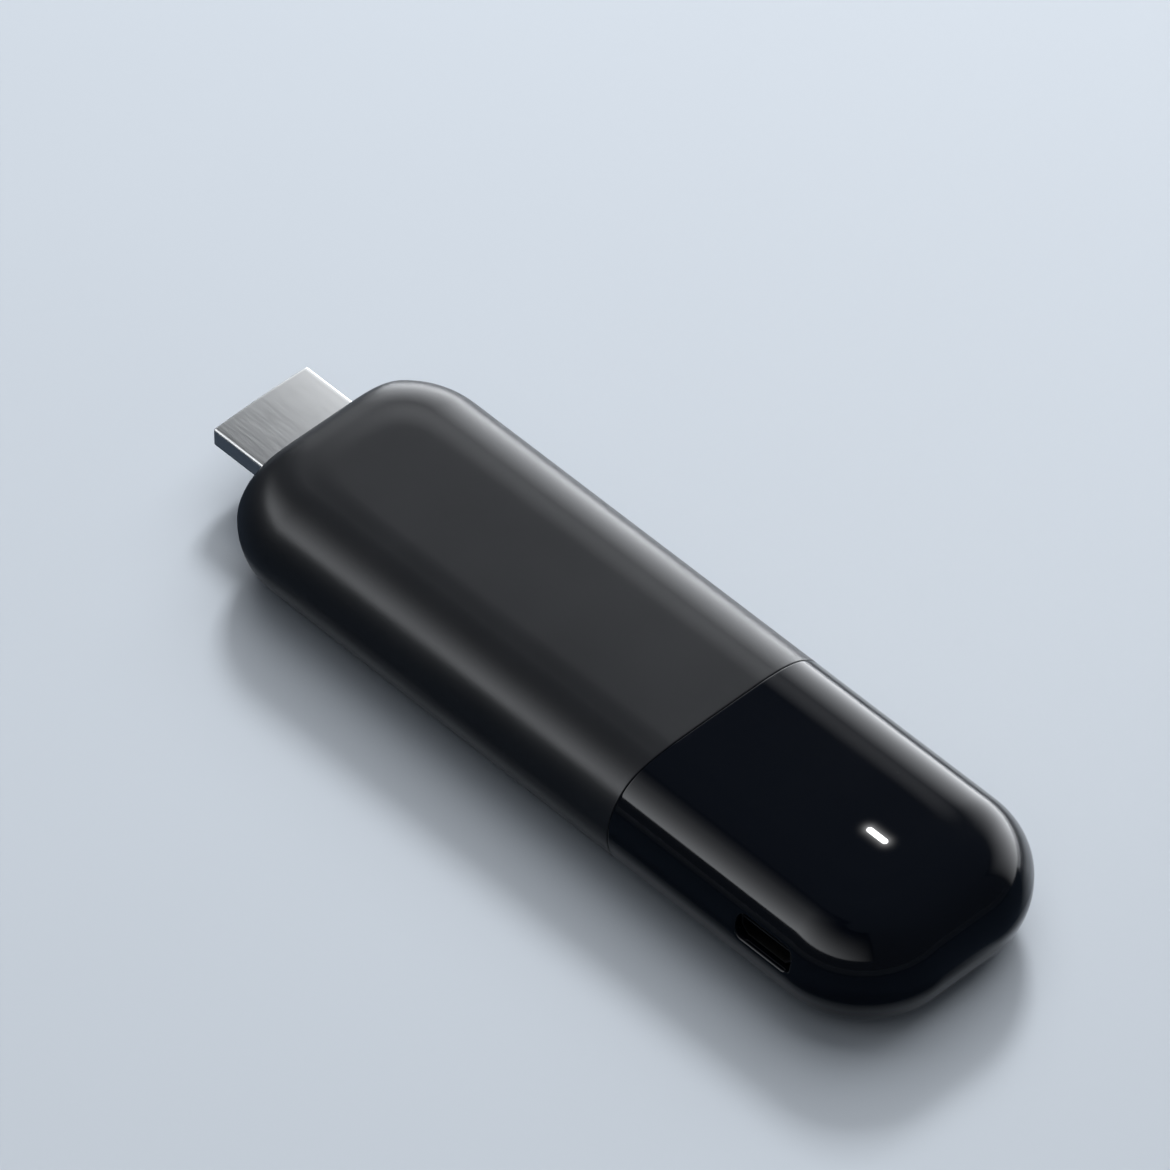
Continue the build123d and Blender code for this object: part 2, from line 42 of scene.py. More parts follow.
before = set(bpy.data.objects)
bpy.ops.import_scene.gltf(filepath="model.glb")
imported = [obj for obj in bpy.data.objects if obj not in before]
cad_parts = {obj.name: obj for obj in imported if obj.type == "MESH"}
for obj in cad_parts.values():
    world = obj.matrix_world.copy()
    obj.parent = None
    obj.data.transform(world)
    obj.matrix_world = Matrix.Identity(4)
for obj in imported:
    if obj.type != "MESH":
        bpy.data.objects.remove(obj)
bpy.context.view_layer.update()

# How finely the surfaces are divided
SIDE_STEPS = 27
EDGE_STEPS = 5
CORNER_STEPS = 24
SEGMENT_STEPS = 24
FLAT_STEPS = 12
END_ROUND_STEPS = 14
RING_STEPS = 8
LIP_STEPS = 5
SLEEVE_STATIONS = 48
CAP_STATIONS = 20
PORT_STATIONS = 38
PLUG_STATIONS = 16
PLUG_STEPS = (9, 10)
HOLE_STEPS = (17, 9)
LIGHT_STEPS = (19, 11)
FLOOR_STEPS = 128
WINDOW_STEPS = (24, 8)
CARD_STEPS = 16

# Points nearer to each other than this are merged
WELD = 5e-7

# Where the casing's eased part starts and ends, as shares of the way out from a corner's centre, and how
# softly it crosses the middle line
EASE_START = 0.16
EASE_END = 0.87
MIDDLE_BLEND = 0.0015


def length(name, default, description):
    """Property for a size in metres."""
    return FloatProperty(name=name, description=description, default=default, min=0, precision=5,
                         subtype="DISTANCE", unit="LENGTH")


def colour(name, default, description):
    """Property for a linear colour."""
    return FloatVectorProperty(name=name, description=description, default=default, size=3, min=0, max=1,
                               subtype="COLOR")


def angle(name, degrees, description):
    """Property for an angle."""
    return FloatProperty(name=name, description=description, default=math.radians(degrees),
                         subtype="ANGLE", unit="ROTATION")


def number(name, default, description):
    """Property for a plain number."""
    return FloatProperty(name=name, description=description, default=default, min=0)


class CasingSizes(bpy.types.PropertyGroup):
    """Sizes of the sleeve and the cap that the frame's boxes don't give."""

    side_round: length("Side rounding", 0.0072, "Radius from the flat top or underside to the side")
    flat_corner: length("Flat corner", 0.0044, "Corner radius of the flat top, seen from above")
    trim: length("Plug end trim", 0.0028, "How much the plug end is cut back to a flat face")
    end_round: length("Plug end rounding", 0.0037, "Radius around the flat face that the plug leaves")
    crown: length("Crown", 0.0001, "How far the top sinks from its middle line to the sides")
    ease: number("Ease", 0.026, "Share by which the rounding starts early and turns tighter")
    ease_blend: length("Ease blend", 0.004, "How softly the eased part turns the corners")
    wall: length("Wall", 0.0016, "Thickness of both shells")
    seam_gap: length("Seam gap", 0.00006, "Width of the line between the sleeve and the cap")
    seam_lip: length("Seam lip", 0.00012, "Radius of the edges along the seam")
    spigot_gap: length("Spigot gap", 0.0001, "Room between the cap's spigot and the sleeve")
    spigot_wall: length("Spigot wall", 0.001, "Thickness of the spigot")
    spigot_root: length("Spigot root", 0.003, "How far the spigot's bore runs on under the cap")


class PlugSizes(bpy.types.PropertyGroup):
    """Section of the video plug's metal shell."""

    side_height: length("Side height", 0.0026, "Height of the plug's upright sides")
    bottom_width: length("Bottom width", 0.0106, "Width of the plug's narrower underside")
    corner: length("Top corner", 0.0004, "Radius of the two upper edges")
    lower_corner: length("Lower corner", 0.0009, "Radius of the four lower edges")
    metal: length("Metal", 0.0003, "Thickness of the pressed metal")
    lip: length("Mouth lip", 0.00015, "Radius of the mouth's edge")
    crown: length("Plug crown", 0.0002, "How far the plug's top sinks from its middle line to the sides")
    hole_gap: length("Hole gap", 0.00015, "Room between the plug and the hole in the sleeve")
    hole_lip: length("Hole lip", 0.0001, "Radius of the edge of the hole in the sleeve")


class OpeningSizes(bpy.types.PropertyGroup):
    """Openings in the cap."""

    light_length: length("Light length", 0.0029, "Length of the status light's window")
    light_width: length("Light width", 0.00072, "Width of the status light's window")
    light_gap: length("Light gap", 0.00004, "Room around the window")
    light_lip: length("Light lip", 0.00005, "Radius of the edge around the window")
    port_gap: length("Port gap", 0.00035, "Room between the power socket and its opening")
    port_corner: length("Port corner", 0.0011, "Corner radius of the power socket's opening")
    port_lip: length("Port lip", 0.0003, "Radius of the opening's edge")


class FinishColours(bpy.types.PropertyGroup):
    """Colours of what shows."""

    sleeve: colour("Sleeve", (0.0085, 0.0093, 0.0112), "Matte charcoal plastic")
    cap: colour("Cap", (0.0018, 0.0027, 0.0050), "Gloss black plastic")
    metal: colour("Plug metal", (0.82, 0.82, 0.81), "Satin nickel")
    gold: colour("Contacts", (0.93, 0.70, 0.32), "Gold plating")
    inner: colour("Inner plastic", (0.018, 0.018, 0.019), "Plain moulded plastic inside")
    board: colour("Board", (0.012, 0.055, 0.030), "Solder mask of the circuit boards")
    light: colour("Status light", (1.0, 1.0, 1.0), "Glow of the status light")


class StageSizes(bpy.types.PropertyGroup):
    """Camera, floor and lamps."""

    azimuth: angle("Azimuth", 46.44, "Where the camera stands round the stick, from the near side")
    elevation: angle("Elevation", 46.65, "How far the camera looks down")
    distance: length("Distance", 1.5064, "From the camera to the stick")
    lens: number("Lens", 433.2, "Focal length in millimetres")
    aside: FloatProperty(name="Aside", default=-0.002654, precision=5, subtype="DISTANCE", unit="LENGTH",
                         description="How far the camera stands to the right of the stick's middle")
    above: length("Above", 0.015118, "How far the camera stands above the line to the middle")
    floor: colour("Floor", (0.58, 0.635, 0.70), "Pale floor")
    room: colour("Room", (0.044, 0.050, 0.060), "Faint light from all round")
    far_window: number("Far window", 7.0, "Brightness of the window behind the stick")
    near_window: number("Near window", 3.1, "Brightness of the window on the near side")
    broad_lamp: number("Broad lamp", 10.2, "Power of the broad lamp overhead, in watts")
    main_lamp: number("Main lamp", 4.6, "Power of the lamp that casts the shadow, in watts")
    fill_lamp: number("Fill lamp", 1.7, "Power of the lamp that lightens the shadow, in watts")


# Shapes

class Sheets:
    """Grids of points that meet along their edges and together make one surface."""

    def __init__(self):
        self.points = []
        self.faces = []
        self.count = 0

    def add(self, grid, keep=slice(None)):
        """Adds a grid of points, rows by columns by three, with a face in each cell that keep leaves in."""
        rows, columns = grid.shape[:2]
        index = self.count + np.arange(rows * columns).reshape(rows, columns)
        cells = np.stack([index[:-1, :-1], index[:-1, 1:], index[1:, 1:], index[1:, :-1]], axis=-1)
        self.points.append(grid.reshape(-1, 3))
        self.faces.append(cells[keep].reshape(-1, 4))
        self.count += rows * columns


def new_object(name, data):
    """Adds an object to the scene."""
    made = bpy.data.objects.new(name, data)
    bpy.context.scene.collection.objects.link(made)
    return made


def dress(sheets, name, finish, node, form=None):
    """Puts the sheets into one mesh, merges its doubles, turns its faces outward and lets it stand for
    a node of the frame. Points without a face are left out, and a casing's form crowns the rest."""
    faces = np.concatenate(sheets.faces)
    used, corners = np.unique(faces, return_inverse=True)
    points = np.concatenate(sheets.points)[used]
    if form:
        points = form.crowned(points)
    mesh = bpy.data.meshes.new(name)
    mesh.from_pydata(points.tolist(), [], corners.reshape(faces.shape).tolist())
    work = bmesh.new()
    work.from_mesh(mesh)
    bmesh.ops.remove_doubles(work, verts=work.verts, dist=WELD)
    bmesh.ops.recalc_face_normals(work, faces=work.faces)
    work.to_mesh(mesh)
    work.free()
    mesh.shade_smooth()
    mesh.materials.append(finish)
    piece = new_object(name, mesh)
    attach(piece, "root")
    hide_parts(node)


def spaced(low, high, count):
    """Values from low to high that crowd towards both ends: the cosine of evenly spaced angles."""
    return low + (high - low) * (1 - np.cos(np.linspace(0, np.pi, count))) / 2


def grid_of(x, y, z):
    """Stacks three arrays of the same or fitting shape into a grid of points."""
    return np.stack(np.broadcast_arrays(x, y, z), axis=-1)


def both(rings):
    """Two arrays, with the first and the second coordinate of every ring's points."""
    return np.array([ring[0] for ring in rings]), np.array([ring[1] for ring in rings])


def shares(count):
    """Shares from 0 to 1 as a column, for the rings between two loops."""
    return np.linspace(0, 1, count)[:, None]


def lip_rows(radius):
    """A quarter circle in steps: how far each row still stands out, and how deep it lies."""
    turn = np.linspace(0, np.pi / 2, LIP_STEPS)
    return radius * (1 - np.sin(turn)), radius * (1 - np.cos(turn))


class CasingForm:
    """The casing's outer form, and the forms parallel to it further in.

    Seen from above it is a rectangle whose corner arcs turn about fixed centres. A side point at turn t
    stands corner + (round - inset) cos t beyond that centre, and (round - inset) sin t above or below
    the level where the side is widest, so that every inset shares the same centres."""

    def __init__(self, sizes):
        self.sizes = sizes
        self.x_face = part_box("sleeve")[0].x
        self.x_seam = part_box("sleeve")[1].x
        self.x_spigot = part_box("end_cap")[0].x
        x_far, self.half_width, self.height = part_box("end_cap")[1]
        self.round = sizes.side_round
        self.corner = sizes.flat_corner
        self.corner_y = self.half_width - self.round - self.corner
        self.widest = self.corner + self.round
        self.x_far_corner = x_far - self.widest
        self.x_plug_corner = self.x_face - sizes.trim + self.widest
        self.ease_from = EASE_START * self.widest
        self.ease_to = EASE_END * self.widest
        self.ball_run = self.x_plug_corner - self.x_face - sizes.end_round
        self.ball_round = self.round - sizes.end_round
        self.trim_turn = math.acos((self.ball_run - self.corner) / self.ball_round)
        upper = np.concatenate([np.linspace(0, self.trim_turn, SIDE_STEPS),
                                np.linspace(self.trim_turn, np.pi / 2, EDGE_STEPS)[1:]])
        self.turns = np.concatenate([-upper[::-1], upper])
        self.levels = np.repeat([self.round, self.height - self.round], len(upper))
        self.on_ball = np.abs(self.turns) <= self.trim_turn
        arc = np.linspace(0, np.pi / 2, CORNER_STEPS + 1)
        across = np.linspace(-self.corner_y, self.corner_y, SEGMENT_STEPS + 1)
        segment = across[1:-1]
        self.arc = arc
        self.across = across
        self.end_y = np.concatenate([np.full(len(arc), -self.corner_y), segment,
                                     np.full(len(arc), self.corner_y)])
        self.end_out = np.concatenate([np.sin(arc), np.ones(len(segment)), np.sin(arc[::-1])])
        self.end_side = np.concatenate([-np.cos(arc), np.zeros(len(segment)), np.cos(arc[::-1])])
        self.flat_y = self.end_y + self.corner * self.end_side

    def side(self, inset):
        """How far each row of the side stands beyond the corner's centre, and its height."""
        radius = self.round - inset
        return self.corner + radius * np.cos(self.turns), self.levels + radius * np.sin(self.turns)

    def ring(self, inset):
        """Section across the casing: up the near side, over the top, down the far side and back."""
        reach, z = self.side(inset)
        flat = np.ones(len(self.flat_y))
        y = np.concatenate([-self.corner_y - reach, self.flat_y, (self.corner_y + reach)[::-1],
                            self.flat_y[::-1]])
        return y, np.concatenate([z, flat * (self.height - inset), z[::-1], flat * inset])

    def tube(self, stations, insets):
        """Sections at stations along the stick, each drawn in by its inset."""
        rings = [self.ring(inset) for inset in np.broadcast_to(insets, stations.shape)]
        return grid_of(stations[:, None], *both(rings))

    def flats(self, x_corner, outward, inset):
        """Flat ends of the top and underside: lines along the stick from the corner's centre to the
        flat's rounded outline."""
        x = x_corner + outward * shares(FLAT_STEPS) * self.corner * self.end_out
        return [grid_of(x, self.flat_y, level) for level in (self.height - inset, inset)]

    def near_side(self, along, z, inset):
        """Near side and its far corner as a function of height and of the distance along the widest
        outline: straight up to the corner's centre, then an arc about it."""
        reach = self.reach_at(z, inset)
        turn = np.clip((along - self.x_far_corner) / self.widest, 0, None)
        return grid_of(np.minimum(along, self.x_far_corner) + reach * np.sin(turn),
                       -self.corner_y - reach * np.cos(turn), z)

    def reach_at(self, z, inset):
        """How far the side stands beyond the corner's centre at a height, from the circle's equation."""
        rise = np.clip(z - self.height + self.round, 0, None) + np.clip(self.round - z, 0, None)
        return self.corner + np.sqrt((self.round - inset) ** 2 - rise ** 2)

    def along_at(self, x, z, inset):
        """Distance along the widest outline of the near side's point at x and z."""
        past = np.clip(x - self.x_far_corner, 0, None)
        turn = np.arcsin(past / self.reach_at(z, inset))
        return np.minimum(x, self.x_far_corner) + self.widest * turn

    def crowned(self, points):
        """Eased section: a height above or below the middle shrinks by a share. One part of the share is
        a crown that grows from the middle line as the square of a sine. The other, the ease, swells and
        fades as the square of a sine over the outer part of the distance from the corner centres, so that
        the flat runs into the rounding without a sudden bend. The distances past a centre in x and in y
        start softly, so that the ease's level lines turn the corner smoothly too."""
        x, y, z = points.T
        middle = self.height / 2
        past = np.stack([np.maximum(self.x_plug_corner - x, x - self.x_far_corner),
                         np.hypot(y, MIDDLE_BLEND) - self.corner_y])
        blend = self.sizes.ease_blend
        ramp = (np.hypot(past, blend) + past) / 2
        slant = np.hypot(ramp[0], ramp[1])
        away = slant - blend ** 2 / (4 * slant)
        part = np.clip((away - self.ease_from) / (self.ease_to - self.ease_from), 0, 1)
        sink = self.sizes.crown / middle * np.sin(np.pi / 2 * y / self.half_width) ** 2
        sink += self.sizes.ease * np.sin(np.pi * part) ** 2
        return np.stack([x, y, middle + (z - middle) * (1 - sink)], axis=-1)

    def near_y(self, x, z, inset):
        """Y of the near side at x and z."""
        past = np.clip(x - self.x_far_corner, 0, None)
        return -self.corner_y - np.sqrt(self.reach_at(z, inset) ** 2 - past ** 2)


def loop_round(columns, rows):
    """Closed loop round a block of a grid, from its low corner along the columns and back."""
    wide = len(columns)
    high = len(rows)
    return (np.concatenate([columns, np.full(high, columns[-1]), columns[::-1], np.full(high, columns[0])]),
            np.concatenate([np.full(wide, rows[0]), rows, np.full(wide, rows[-1]), rows[::-1]]))


def rounded_side(half_along, half_out, corner, count):
    """One side of a rounded rectangle, from the middle of one corner to the middle of the next, in
    evenly spaced steps of its own length."""
    straight = half_along - corner
    place = np.linspace(-1, 1, count) * (straight + corner * np.pi / 4)
    turn = np.clip(np.abs(place) - straight, 0, None) / corner
    along = np.sign(place) * (np.minimum(np.abs(place), straight) + corner * np.sin(turn))
    return along, corner * (1 - np.cos(turn)) - half_out


def rounded_loop(half_long, half_high, corner, long_count, high_count):
    """Closed loop of a rounded rectangle that matches loop_round, side by side."""
    p, q = rounded_side(half_long, half_high, corner, long_count)
    s, t = rounded_side(half_high, half_long, corner, high_count)
    return np.concatenate([p, -t, -p, t]), np.concatenate([q, s, -q, -s])


class Opening:
    """Rounded opening through the cap's wall. Its outline is drawn in two coordinates, and each kind of
    opening says which and how they lie on the wall."""

    def __init__(self, form, centre, half, corner, lip):
        self.form = form
        self.centre = centre
        self.half = half
        self.corner = corner
        self.lip = lip

    def loop(self, grow, counts):
        """The opening's outline, grown by grow."""
        a, b = rounded_loop(self.half[0] + grow, self.half[1] + grow, self.corner + grow, *counts)
        return self.centre[0] + a, self.centre[1] + b

    def patch(self, sheets, columns, rows, inset):
        """Rings from the opening's outline out to a block of the wall's grid: straight lines between them
        in the coordinates of that grid. Only the outer surface leaves room for the lip."""
        a, b = self.unrolled(*self.loop(0 if inset else self.lip, (len(columns), len(rows))), inset)
        far_a, far_b = loop_round(columns, rows)
        f = shares(RING_STEPS)
        sheets.add(self.rolled(a + (far_a - a) * f, b + (far_b - b) * f, inset))

    def tunnel(self, sheets, columns, rows):
        """Softened edge of the opening, then its walls straight in to the inner surface."""
        counts = (len(columns), len(rows))
        edge = [self.sunk(*self.loop(grow, counts), 0, depth) for grow, depth in zip(*lip_rows(self.lip))]
        sheets.add(np.stack([*edge, self.sunk(*self.loop(0, counts), self.form.sizes.wall, 0)]))


class SideOpening(Opening):
    """Opening through the near side, drawn in x and z."""

    def unrolled(self, x, z, inset):
        """Place in the side's grid: distance along the side, and height."""
        return self.form.along_at(x, z, inset), z

    def rolled(self, along, z, inset):
        """Points of the side at places in its grid."""
        return self.form.near_side(along, z, inset)

    def sunk(self, x, z, inset, depth):
        """Points at a depth behind one of the side's surfaces."""
        return grid_of(x, self.form.near_y(x, z, inset) + depth, z)


class TopOpening(Opening):
    """Opening through the flat top, drawn in x and y."""

    def unrolled(self, x, y, inset):
        """Place in the flat's grid, which is x and y too."""
        return x, y

    def rolled(self, x, y, inset):
        """Points of the flat at places in its grid."""
        return self.sunk(x, y, inset, 0)

    def sunk(self, x, y, inset, depth):
        """Points at a depth below one of the flat's surfaces."""
        return grid_of(x, y, self.form.height - inset - depth)


def port_opening(form, sizes):
    """Opening around the power socket."""
    low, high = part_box("power_port_shell")
    half = ((high.x - low.x) / 2 + sizes.port_gap, (high.z - low.z) / 2 + sizes.port_gap)
    return SideOpening(form, ((low.x + high.x) / 2, (low.z + high.z) / 2), half, sizes.port_corner,
                       sizes.port_lip)


def light_opening(form, sizes):
    """Slot around the status light."""
    low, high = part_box("light_guide")
    half_wide = sizes.light_width / 2 + sizes.light_gap
    half = (sizes.light_length / 2 + sizes.light_gap, half_wide)
    return TopOpening(form, ((low.x + high.x) / 2, 0.0), half, half_wide, sizes.light_lip)


def cap_sheets(form, openings):
    """The cap: one dome outside and one inside, joined along the seam by the spigot, and through the
    walls around the light and the socket."""
    sizes = form.sizes
    sheets = Sheets()
    port = port_opening(form, openings)
    light = light_opening(form, openings)
    margin = 0.0012
    port_x, port_z = port.centre
    port_start = port_x - port.half[0] - margin
    port_end = form.along_at(port_x + port.half[0], port_z, 0) + margin
    corner_columns = 1 + int(np.searchsorted(form.x_far_corner + form.widest * form.arc, port_end))
    levels = form.side(0)[1]
    row_low = int(np.searchsorted(levels, port_z - port.half[1] - margin / 2)) - 1
    row_high = int(np.searchsorted(levels, port_z + port.half[1] + margin / 2)) + 1
    fine = np.linspace(port_start, form.x_far_corner, PORT_STATIONS)
    x_edge = form.x_seam + sizes.seam_gap / 2
    block_x = fine[np.abs(fine - light.centre[0]) < light.half[0] + margin / 2]
    block_y = form.flat_y[np.abs(form.flat_y) < light.half[1] + margin]
    root = form.x_seam + sizes.spigot_root
    for inset, start in ((0.0, x_edge + sizes.seam_lip), (sizes.wall, root)):
        stations = np.concatenate([spaced(start, port_start, CAP_STATIONS)[:-1], fine])
        grid = form.tube(stations, inset)
        cell_x = (stations[:-1] + stations[1:]) / 2
        cell_row = np.arange(grid.shape[1] - 1) + 0.5
        cell_y = (grid[0, :-1, 1] + grid[0, 1:, 1]) / 2
        on_top = (cell_row > len(form.turns)) & (cell_row < len(form.turns) + len(form.flat_y) - 1)
        in_port = (cell_x > port_start)[:, None] & ((cell_row > row_low) & (cell_row < row_high))
        in_light = (cell_x > block_x[0]) & (cell_x < block_x[-1])
        in_light = in_light[:, None] & (on_top & (cell_y > block_y[0]) & (cell_y < block_y[-1]))
        sheets.add(grid, ~(in_port | in_light))
        reach, z = form.side(inset)
        end = grid_of(form.x_far_corner + reach[:, None] * form.end_out,
                      form.end_y + reach[:, None] * form.end_side, z[:, None])
        keep = np.ones((end.shape[0] - 1, end.shape[1] - 1), bool)
        keep[row_low:row_high, :corner_columns] = False
        sheets.add(end, keep)
        for flat in form.flats(form.x_far_corner, 1, inset):
            sheets.add(flat)
        columns = np.concatenate([fine, form.x_far_corner + form.widest * form.arc[1:corner_columns + 1]])
        rows = z[row_low:row_high + 1]
        port.patch(sheets, columns, rows, inset)
        light.patch(sheets, block_x, block_y, inset)
    port.tunnel(sheets, columns, rows)
    light.tunnel(sheets, block_x, block_y)
    out, depth = lip_rows(sizes.seam_lip)
    spigot = sizes.wall + sizes.spigot_gap
    bore = spigot + sizes.spigot_wall
    x = np.concatenate([x_edge + out, [x_edge, form.x_spigot, form.x_spigot, root, root]])
    inset = np.concatenate([depth, [spigot, spigot, bore, bore, sizes.wall]])
    sheets.add(form.tube(x, inset))
    return sheets


def light_sheets(openings):
    """The status light's window: a closed pill with a softened upper rim. Its rings are the slot's
    outline drawn in step by step, down to the middle line at the top and at the foot."""
    low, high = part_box("light_guide")
    out, depth = lip_rows(openings.light_lip)
    half_wide = openings.light_width / 2
    closed = half_wide - WELD / 4
    inset = np.concatenate([[closed, 0], out[::-1], [2 * openings.light_lip, closed]])
    z = np.concatenate([[low.z, low.z], high.z - depth[::-1], [high.z, high.z]])
    x, y = both([rounded_loop(openings.light_length / 2 - d, half_wide - d, half_wide - d, *LIGHT_STEPS)
                 for d in inset])
    sheets = Sheets()
    sheets.add(grid_of((low.x + high.x) / 2 + x, y, z[:, None]))
    return sheets


class PlugForm:
    """Section of the video plug across the stick, and sections parallel to it."""

    def __init__(self, sizes):
        low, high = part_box("plug_shell")
        self.sizes = sizes
        self.x_mouth = low.x
        self.x_root = high.x
        self.half_width = high.y
        self.half_height = (high.z - low.z) / 2
        self.z = (low.z + high.z) / 2

    def outline(self, inset, arc_count, edge_count):
        """Closed outline from the middle of the lower near corner, up and round: an arc at each corner
        and, between arcs, points that crowd towards the arcs. Also the places of four corner middles."""
        sizes = self.sizes
        wide = self.half_width - inset
        narrow = sizes.bottom_width / 2 - inset / 2
        top = self.half_height - inset
        shoulder = self.half_height - sizes.side_height
        corners = np.array([(-narrow, -top), (-wide, shoulder), (-wide, top), (wide, top),
                            (wide, shoulder), (narrow, -top)])
        lower = max(sizes.lower_corner - inset, sizes.lip)
        upper = max(sizes.corner - inset, sizes.lip)
        radii = np.array([lower, lower, upper, upper, lower, lower])
        before = corners - np.roll(corners, 1, axis=0)
        after = np.roll(corners, -1, axis=0) - corners
        before = before / np.linalg.norm(before, axis=1)[:, None]
        after = after / np.linalg.norm(after, axis=1)[:, None]
        turn = np.arccos((before * after).sum(1))
        reach = radii * np.tan(turn / 2)
        middle = corners + (after - before) * (radii / np.sin(turn))[:, None]
        start = corners - before * reach[:, None] - middle
        swing = np.arctan2(start[:, 1], start[:, 0]) - turn * shares(arc_count)
        arcs = np.stack([middle[:, 0] + radii * np.cos(swing),
                         middle[:, 1] + radii * np.sin(swing)], axis=-1)
        parts = []
        for i in range(len(corners)):
            leave = arcs[-1, i]
            way = arcs[0, (i + 1) % len(corners)] - leave
            parts += [arcs[:, i], leave + way * spaced(0, 1, edge_count)[1:-1, None]]
        path = np.roll(np.concatenate(parts), -(arc_count // 2), axis=0)
        path = np.concatenate([path, path[:1]])
        each = arc_count + edge_count - 2
        return path[:, 0], self.z + path[:, 1], [0, 2 * each, 3 * each, 5 * each, 6 * each]

    def loop(self, inset, counts):
        """Closed outline in as many steps as four given counts: up the near side, over the top, down the
        far side and back, each evenly spaced by the outline's own length."""
        y, z, marks = self.outline(inset, *HOLE_STEPS)
        run = np.concatenate([[0], np.cumsum(np.hypot(np.diff(y), np.diff(z)))])
        places = np.concatenate([spaced(run[low], run[high], count)
                                 for low, high, count in zip(marks[:-1], marks[1:], counts)])
        return np.interp(places, run, y), np.interp(places, run, z)


def sleeve_sheets(form, plug):
    """The sleeve: an outer and an inner surface, joined along the seam and through the plug's hole."""
    sizes = form.sizes
    sheets = Sheets()
    x_edge = form.x_seam - sizes.seam_gap / 2
    gap = plug.sizes.hole_gap
    counts = (np.count_nonzero(form.on_ball), SEGMENT_STEPS + 1) * 2
    q_y, q_z = ball_line(form)[:2]
    for inset, stop in ((0.0, x_edge - sizes.seam_lip), (sizes.wall, x_edge)):
        sheets.add(form.tube(spaced(form.x_plug_corner, stop, SLEEVE_STATIONS), inset))
        plug_end(sheets, form, inset)
        for flat in form.flats(form.x_plug_corner, -1, inset):
            sheets.add(flat)
        y, z = plug.loop(-gap - (0 if inset else plug.sizes.hole_lip), counts)
        f = shares(RING_STEPS)
        sheets.add(grid_of(form.x_face + inset, y + (q_y - y) * f, z + (q_z - z) * f))
    out, depth = lip_rows(plug.sizes.hole_lip)
    sheets.add(np.stack([grid_of(form.x_face + sunk, *plug.loop(-gap - grow, counts))
                         for grow, sunk in zip([*out, 0], [*depth, sizes.wall])]))
    out, depth = lip_rows(sizes.seam_lip)
    sheets.add(form.tube(np.append(x_edge - out, x_edge), np.append(depth, sizes.wall)))
    return sheets


def end_turns(form):
    """Turn at which each row of the plug end's corner meets the rounding of the flat face: where a ball
    rolling inside touches both."""
    ball = form.corner + form.ball_round * np.cos(form.turns)
    return np.where(form.on_ball, np.arcsin(np.clip(form.ball_run / ball, 0, 1)), np.pi / 2)


def ball_line(form):
    """Closed line of the rolling ball's centre: up the near side, over the top, down the far side and
    back. Gives y, z, the way out across the stick, and the turn at which the ball leaves the flat."""
    rows = form.on_ball
    turns = form.turns[rows]
    last = end_turns(form)[rows]
    ball = form.corner + form.ball_round * np.cos(turns)
    side_y = -form.corner_y - ball * np.cos(last)
    side_z = form.levels[rows] + form.ball_round * np.sin(turns)
    side_end = np.arccos(np.clip(np.cos(turns) * np.sin(last), -1, 1))
    out_y = -np.cos(turns) * np.cos(last) / np.sin(side_end)
    out_z = np.sin(turns) / np.sin(side_end)
    across = form.across
    still = np.zeros(len(across))
    flat_end = still + form.trim_turn
    y = np.concatenate([side_y, across, -side_y[::-1], across[::-1]])
    z = np.concatenate([side_z, still + side_z[-1], side_z[::-1], still + side_z[0]])
    way_y = np.concatenate([out_y, still, -out_y[::-1], still])
    way_z = np.concatenate([out_z, still + 1, out_z[::-1], still - 1])
    return y, z, way_y, way_z, np.concatenate([side_end, flat_end, side_end[::-1], flat_end])


def plug_end(sheets, form, inset):
    """Plug end of the casing: the two corners, the strips between them above and below, and the
    rounding of the flat face, which is the ball's line carried round a quarter turn or less."""
    reach, z = form.side(inset)
    turn = end_turns(form)[:, None] * np.linspace(0, 1, CORNER_STEPS + 1)
    x = form.x_plug_corner - reach[:, None] * np.sin(turn)
    y = form.corner_y + reach[:, None] * np.cos(turn)
    for side in (-1, 1):
        sheets.add(grid_of(x, side * y, z[:, None]))
    for half in (form.turns <= -form.trim_turn, form.turns >= form.trim_turn):
        sheets.add(grid_of(form.x_plug_corner - reach[half][:, None], form.across, z[half][:, None]))
    q_y, q_z, way_y, way_z, last = ball_line(form)
    radius = form.sizes.end_round - inset
    roll = shares(END_ROUND_STEPS) * last
    sheets.add(grid_of(form.x_face + form.sizes.end_round - radius * np.cos(roll),
                       q_y + radius * np.sin(roll) * way_y, q_z + radius * np.sin(roll) * way_z))


def plug_sheets(plug):
    """The plug's skin: its outline carried along the stick, round the mouth's edge and back inside. A
    height above or below its middle shrinks by a share that grows with the square of y."""
    sizes = plug.sizes
    sheets = Sheets()
    out, depth = lip_rows(sizes.lip)
    outside = spaced(plug.x_root, plug.x_mouth + sizes.lip, PLUG_STATIONS)[:-1]
    inside = spaced(plug.x_mouth + sizes.lip, plug.x_root, PLUG_STATIONS)[1:]
    x = np.concatenate([outside, plug.x_mouth + out, plug.x_mouth + out[::-1], inside, [plug.x_root]])
    inset = np.concatenate([np.zeros(len(outside)), depth, sizes.metal - depth[::-1],
                            np.full(len(inside), sizes.metal), [0]])
    y, z = both([plug.outline(value, *PLUG_STEPS) for value in inset])
    sink = sizes.crown / plug.half_height * (y / plug.half_width) ** 2
    sheets.add(grid_of(x[:, None], y, plug.z + (z - plug.z) * (1 - sink)))
    return sheets


# Materials

def new_material(name):
    """New material: the material itself, its tree and its surface shader."""
    made = bpy.data.materials.new(name)
    made.use_nodes = True
    return made, made.node_tree, made.node_tree.nodes["Principled BSDF"]


def feed(tree, node, inputs):
    """Gives each input its value, or a link from another node."""
    for key, value in inputs.items():
        if isinstance(value, bpy.types.NodeSocket):
            tree.links.new(value, node.inputs[key])
        else:
            node.inputs[key].default_value = value
    return node


